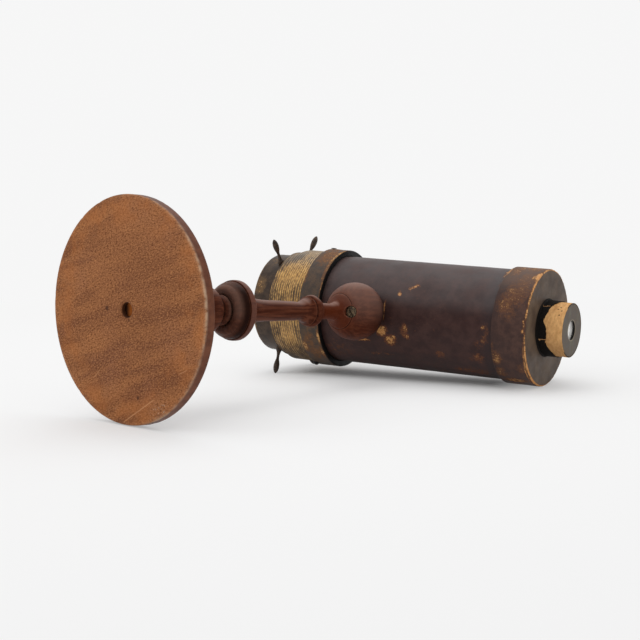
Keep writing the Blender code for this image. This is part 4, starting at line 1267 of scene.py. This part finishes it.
# %% The eye disc and the lens
tarnish = Finish("tarnished_metal", metallic=0.3, Specular_IOR_Level=0.3)
mottle = tarnish.noise(4, 5, rough=0.65)
wipe = tarnish.step(tarnish.noise(9, 3, stretch=(1, 0.5, 1.6), at=(0, 0.2, 0)), 0.5, 0.72, 0, 0.6)
tarnish.set("Base Color", tarnish.mix(tarnish.step(mottle, 0.38, 0.65), tint(69, 57, 46),
                                      tint(95, 82, 68)))
# The rim of the hole is painted bright, and its wall dark, as painted shade.
tarnish.overlay((wipe, (96, 94, 76)), (tarnish.field("edge"), (170, 156, 132)),
                (tarnish.field("wall"), (22, 19, 16)))
tarnish.set("Roughness", tarnish.step(mottle, 0.3, 0.7, 0.38, 0.6))
tarnish.set("Normal", tarnish.bump(mottle, 0.04))
disc_ring = softened([(disc_back, eye_hole_radius), (disc_back, disc_radius),
                      (eye_face, disc_radius), (eye_face, eye_hole_radius)],
                     {2: 0.35, 3: 0.4})
eye_disc = lathe("eye_disc_ring", fine(disc_ring, 0.5), barrel_place, 160)
x, r, _ = places(eye_disc)
hole_lip = np.clip(1 - np.abs(r - eye_hole_radius - 0.45) / 0.4, 0, 1) * (x > eye_face - 0.3)
outer_lip = np.clip(1 - np.abs(r - disc_radius + 0.05) / 0.3, 0, 1) * (x > eye_face - 0.5)
keep_field(eye_disc, "edge", np.maximum(hole_lip * 0.8, outer_lip * 0.25))
keep_field(eye_disc, "wall", r < eye_hole_radius + 0.12)
dress(eye_disc, tarnish, "barrel", "tinned_iron", "eye_disc")

lens_glass = Finish("lens_glass", roughness=0.04, Transmission_Weight=0.05, IOR=1.5,
                    Specular_IOR_Level=0.8)
film = lens_glass.step(lens_glass.noise(6, 2), 0.3, 0.7)
# Its near-white colour is a painted reflection of the pale room.
lens_glass.set("Base Color", lens_glass.mix(film, tint(226, 224, 218), tint(242, 240, 236)))
lens_back = lens_seat + gap
lens_front = lens_back + lens_edge
lens = [(lens_back, 0), (lens_back, lens_radius), (lens_front, lens_radius)]
lens += [(lens_front + lens_dome * cos(quarter[k]), lens_radius * k / 8) for k in range(7, -1, -1)]
eye_lens = lathe("eye_lens_glass", lens, barrel_place, 96, closed=False)
dress(eye_lens, lens_glass, "barrel", "clear_glass", "eye_lens")
print("disc and lens faces:", len(eye_disc.data.polygons), len(eye_lens.data.polygons))

# %% [markdown]
# The cell is a turned drum in worn black paint, with tan wood showing where fingers turned
# it. Only its head stands out of the barrel. The neck runs back inside, past the pin's groove.
# A bezel in its mouth holds the glasses, so its place follows from how thick these are.

# %% The cell's drum and bezel
cell_radius, cell_bore = 35.6, 32.5
tube_wall, neck_wall, neck_length = 3.0, 3.0, 34.0
glass_thickness, spacer_length = 1.6, 8.6
bezel_thickness, bezel_width = 1.5, 2.6
neck_outer = tube_outer - tube_wall - gap
neck_inner = neck_outer - neck_wall
neck_end = cell_head_back + neck_length - gap
groove_at, groove_half, groove_depth = collar_front + pin_from_collar_front, 1.3, 1.4
groove_front, groove_back = groove_at - groove_half, groove_at + groove_half
drum_marks = (
    (-89.0, 160.0, 7.0, 10.0, 0.52), (-92.6, 150.0, 1.6, 30.0, 0.42),
    (-86.0, 120.0, 8.0, 10.0, 0.3), (-92.6, -150.0, 1.6, 40.0, 0.42),
    (-92.6, 0.0, 1.6, 80.0, 0.5), (-88.0, 30.0, 8.0, 9.0, 0.5), (-87.0, -60.0, 9.0, 12.0, 0.5),
)
worn_black = leather_finish("worn_black_paint", (56, 44, 36), (82, 66, 54), (118, 92, 64),
                            (156, 122, 84), grain=0.6, mottle=7.0, roughness=0.42)
drum_profile = [(cell_front, cell_bore), (cell_front, cell_radius), (cell_head_back, cell_radius),
                (cell_head_back, neck_outer), (groove_front, neck_outer),
                (groove_front, neck_outer - groove_depth), (groove_back, neck_outer - groove_depth),
                (groove_back, neck_outer), (neck_end, neck_outer), (neck_end, neck_inner),
                (cell_head_back, neck_inner), (cell_head_back, cell_bore)]


def painted_wood(station, radius, turn):
    """Small lumps on the outside of the drum."""
    outside = radius > cell_bore + 2
    return station, radius + outside * 0.08 * (ripple(station, radius, turn, 6, 31) - 0.8)


cell_drum = lathe("cell_turning_drum", fine(softened(drum_profile, {1: 1.0, 2: 0.3}), 1.0),
                  barrel_place, 200, carve=painted_wood)
keep_field(cell_drum, "wear", marked(*places(cell_drum), drum_marks))
dress(cell_drum, worn_black, "cell", "black_wood", "cell_drum")

glass_back = cell_head_back - gap
ground_back = glass_back - glass_thickness - gap - spacer_length - gap
bezel_back = ground_back - glass_thickness - gap
bezel_front, bezel_outer = bezel_back - bezel_thickness, cell_bore - gap
bezel_ring = [(bezel_front, bezel_outer - bezel_width), (bezel_front, bezel_outer),
              (bezel_back, bezel_outer), (bezel_back, bezel_outer - bezel_width)]
bezel = lathe("cell_front_ring", fine(softened(bezel_ring, {0: 0.5}), 0.8), barrel_place, 160)
keep_field(bezel, "wear", skin_wear)
dress(bezel, worn_black, "cell", "black_wood", "cell_bezel")
print("drum and bezel faces:", len(cell_drum.data.polygons), len(bezel.data.polygons))

# %% [markdown]
# Six turned spokes turn the cell, as on a ship's wheel. Each has a boss, a thin neck and a
# grip that swells and comes to a point. One spoke could be copied six times. Knocks have bent
# some of them toward the eye end, so each is turned anew and then bent at its foot.

# %% The spokes
spoke_from_head_back = 2.3
spoke_station = cell_head_back - spoke_from_head_back
spoke_length, spoke_boss_radius, spoke_shank_radius = 20.7, 2.2, 1.0
spoke_shank_length = 2.4
spoke_bends_deg = (-2, 0, 9, 9, 0, 7)
spoke_shares = (
    (0.00, 1.00), (0.05, 1.06), (0.10, 1.00), (0.125, 0.90), (0.14, 0.80), (0.20, 0.62),
    (0.30, 0.47), (0.42, 0.47), (0.48, 0.58), (0.55, 0.77), (0.62, 0.90), (0.68, 0.96),
    (0.75, 0.97), (0.80, 0.93), (0.86, 0.82), (0.90, 0.70), (0.94, 0.52), (0.97, 0.33),
)
patina = Finish("dark_patina", metallic=0.2, Specular_IOR_Level=0.3)
bloom = patina.noise(2.0, 5, rough=0.65)
patina.set("Base Color", patina.mix(patina.step(bloom, 0.35, 0.68), tint(44, 36, 32),
                                    tint(84, 66, 52)))
patina.set("Roughness", patina.step(bloom, 0.3, 0.7, 0.36, 0.55))
patina.set("Normal", patina.bump(bloom, 0.06))
spoke = [(-spoke_shank_length, 0), (-spoke_shank_length, spoke_shank_radius),
         (0, spoke_shank_radius)]
spoke += [(spoke_length * x_share, spoke_boss_radius * r_share)
          for x_share, r_share in spoke_shares]
spoke = fine(spoke + [(spoke_length, 0)], 0.9)
for number, bend_deg in enumerate(spoke_bends_deg, 1):
    place = (cell_place @ Matrix.Rotation(2 * pi * (number - 0.5) / len(spoke_bends_deg), 4, "X")
             @ Matrix.Translation((spoke_station * mm, 0, (cell_radius + gap) * mm))
             @ Matrix.Rotation(-pi / 2, 4, "Y"))
    handle = lathe(f"turned_spoke_{number}", spoke, place, 28, closed=False)
    bend = Matrix.Rotation(radians(bend_deg), 4, "Y")
    for point in handle.data.vertices:
        if point.co.x > 0:
            point.co = bend @ point.co
    dress(handle, patina, "cell", "spoke_brass", f"spoke_{number}")
print("faces of one spoke:", len(handle.data.polygons))

# %% [markdown]
# What is left keeps its solid: the glasses, mirrors and chips inside the tube. The shapes are
# right already, so they only get their finishes. A ground glass is clear glass with a rough
# skin. The chips are coloured glass, and the mirrors are a metal so smooth that it reflects.

# %% The pieces inside
def dressed_solid(finish, slot, *names):
    """Gives CAD solids a finish, in the place that they already have."""
    for name in names:
        solid = frame["nodes"][name]
        solid.data.materials.clear()
        solid.data.materials.append(finish.material)


def wavering(name, dark, light, noise_terms, **uniform):
    """A finish that wavers between two colours, and the noise that it does so by."""
    made = Finish(name, **uniform)
    wave = made.noise(**noise_terms)
    made.set("Base Color", made.mix(wave, tint(*dark), tint(*light)))
    return made, wave


plain_card, _ = wavering("inner_pasteboard", (150, 112, 72), (186, 148, 100),
                         dict(size=1.5, stretch=(1, 0.4, 0.4)), roughness=0.9)
dressed_solid(plain_card, "pasteboard", "barrel_tube", "front_plug", "eye_plug", "cell_spacer")
black_board, _ = wavering("blackened_board", (12, 11, 10), (34, 31, 28), dict(size=2.0),
                          roughness=0.8)
dressed_solid(black_board, "black_board", "blackened_board")
block_wood, _ = wavering("pale_block_wood", (158, 118, 76), (196, 156, 106),
                         dict(size=1.6, detail=5, stretch=(0.1, 1, 1)), roughness=0.7)
dressed_solid(block_wood, "block_wood", "screw_block")
clear, _ = wavering("clear_cell_glass", (232, 242, 238), (246, 250, 248), dict(size=9, detail=2),
                    roughness=0.02, Transmission_Weight=1.0, IOR=1.5)
dressed_solid(clear, "clear_glass", "clear_glass")
frosted, frost = wavering("ground_cell_glass", (206, 210, 206), (238, 240, 236),
                          dict(size=0.5, detail=3), roughness=0.55, Transmission_Weight=0.75,
                          IOR=1.5)
frosted.set("Normal", frosted.bump(frost, 0.05))
dressed_solid(frosted, "ground_glass", "ground_glass")

silvering = Finish("silvered_glass", roughness=0.03, metallic=1.0)
foxing = silvering.step(silvering.noise(5, 5, rough=0.7), 0.6, 0.75, 0, 0.8)
silvering.set("Base Color", silvering.mix(foxing, tint(228, 230, 230), tint(120, 108, 92)))
dressed_solid(silvering, "mirror", "mirror_left", "mirror_right")

chip_tints = (("red", (176, 20, 26)), ("blue", (28, 84, 178)), ("amber", (206, 142, 30)),
              ("green", (26, 140, 66)), ("violet", (120, 40, 140)), ("turquoise", (30, 140, 162)),
              ("orange", (210, 92, 28)), ("white", (222, 214, 196)))
deep_share = 0.6
for number, (colour_name, pale) in enumerate(chip_tints, 1):
    deep = [value * deep_share for value in pale]
    chip, _ = wavering(f"{colour_name}_chip_glass", deep, pale, dict(size=3, detail=3, swirl=1.5),
                       roughness=0.05, Transmission_Weight=0.8, IOR=1.5)
    dressed_solid(chip, f"glass_{colour_name}", f"glass_chip_{number}")
print("materials so far:", len(bpy.data.materials))

# %% [markdown]
# The room is a pale table and soft light from above. The table is one big sheet, which could
# end at a horizon. Away from the object it fades into a plain glow of the wall's colour
# instead, so that no horizon shows. A little of that glow is there near the object too, where
# it paints the shadows paler: less of it along the barrel, where the contact shadow is, and
# more of it by the base.

# %% The table
wall_white = 0.925
near_glow = 0.38
table_half = 9             # in metres
table = bpy.data.meshes.new("pale_table")
corners = ((-1, -1), (1, -1), (1, 1), (-1, 1))
table.from_pydata([(x * table_half, y * table_half, 0) for x, y in corners], [], [(0, 1, 2, 3)])
table = placed("pale_table", table)
paper_table = Finish("pale_table_paper", roughness=0.9, Specular_IOR_Level=0.0)
paper_table.set("Base Color", paper_table.mix(paper_table.noise(400, 2), (0.865, 0.865, 0.865, 1),
                                              (0.885, 0.885, 0.885, 1)))
far = paper_table.node("VectorMath", {0: paper_table.here}, "Value", operation="LENGTH")
beside_axis = paper_table.size_of(paper_table.math("SUBTRACT", paper_table.axis("Y"),
                                                   barrel_place.translation.y))
beyond_ends = paper_table.step(paper_table.size_of(paper_table.axis("X")), 0.058, 0.105)
clear_of_barrel = paper_table.highest(paper_table.step(beside_axis, 0.006, 0.034, 0.15, 1.0),
                                      beyond_ends)
# More glow by the base paints its shadow paler.
by_the_base = paper_table.step(paper_table.axis("X"), -0.12, -0.06, 1.6, 1.0)
near = paper_table.times(paper_table.seen_by_eye(), near_glow, clear_of_barrel, by_the_base)
glow = paper_table.node("Emission", {"Color": (wall_white, wall_white, wall_white, 1),
                                     "Strength": 1.0})
glowing = paper_table.highest(paper_table.step(far, 0.3, 0.8), near)
blend = paper_table.node("MixShader", {0: glowing, 1: paper_table.shader.outputs[0], 2: glow})
paper_table.feed(paper_table.tree.nodes["Material Output"].inputs["Surface"], blend)
table.data.materials.append(paper_table.material)
print("nodes in the table's finish:", len(paper_table.tree.nodes))

# %% [markdown]
# To the eye, and in gloss and glass, the world has the wall's colour too. As a light it is a
# dome, bright overhead and dim at the sides, which is how a white ceiling lights a table. Two
# soft lamps add the direction. The camera stands where a person would, a little above the
# barrel and in front of it.

# %% The light and the camera
dome_low, dome_high = 0.34, 1.12
lamps = (("top_softbox", (-0.15, 0.25, 1.1), 0.8, 3.2),
         ("front_softbox", (-0.75, -1.0, 0.8), 0.7, 1.2))       # way, size, power
camera_aside, camera_back, camera_up = 0.48777, -0.93857, 0.15407
camera_turns_deg = (83.869, 0.574, 30.088)
camera_lens, camera_film = 83.27, 36.0

world = bpy.data.worlds.new("pale_room")
bpy.context.scene.world = world
world.use_nodes = True
room = Nodes(world.node_tree)
way = room.node("TexCoord", {}, "Generated")
dome_light = room.node("MapRange", {"Value": room.node("SeparateXYZ", {0: way}, "Z"),
                                    "To Min": dome_low, "To Max": dome_high})
strength = room.node("MapRange", {"Value": room.seen_by_eye(), "To Min": dome_light,
                                  "To Max": wall_white})
room.feed(room.tree.nodes["Background"].inputs["Strength"], strength)
room.feed(room.tree.nodes["Background"].inputs["Color"], (1, 1, 1, 1))

middle = (cad_low + cad_high) / 2
for name, offset, size, power in lamps:
    lamp = bpy.data.lights.new(name, "AREA")
    lamp.shape, lamp.size, lamp.energy = "SQUARE", size, power
    softbox = placed(name, lamp)
    softbox.location = middle + Vector(offset)
    softbox.rotation_euler = Vector(offset).to_track_quat("Z", "Y").to_euler()

camera = placed("camera", bpy.data.cameras.new("camera"))
camera.data.lens, camera.data.sensor_width = camera_lens, camera_film
camera.location = (barrel_place.translation.x + camera_aside,
                   barrel_place.translation.y + camera_back, camera_up)
camera.rotation_euler = Euler([radians(value) for value in camera_turns_deg])
bpy.context.scene.camera = camera
bpy.context.scene.view_settings.view_transform = "Standard"
print("camera in mm:", [round(value * 1000) for value in camera.location])
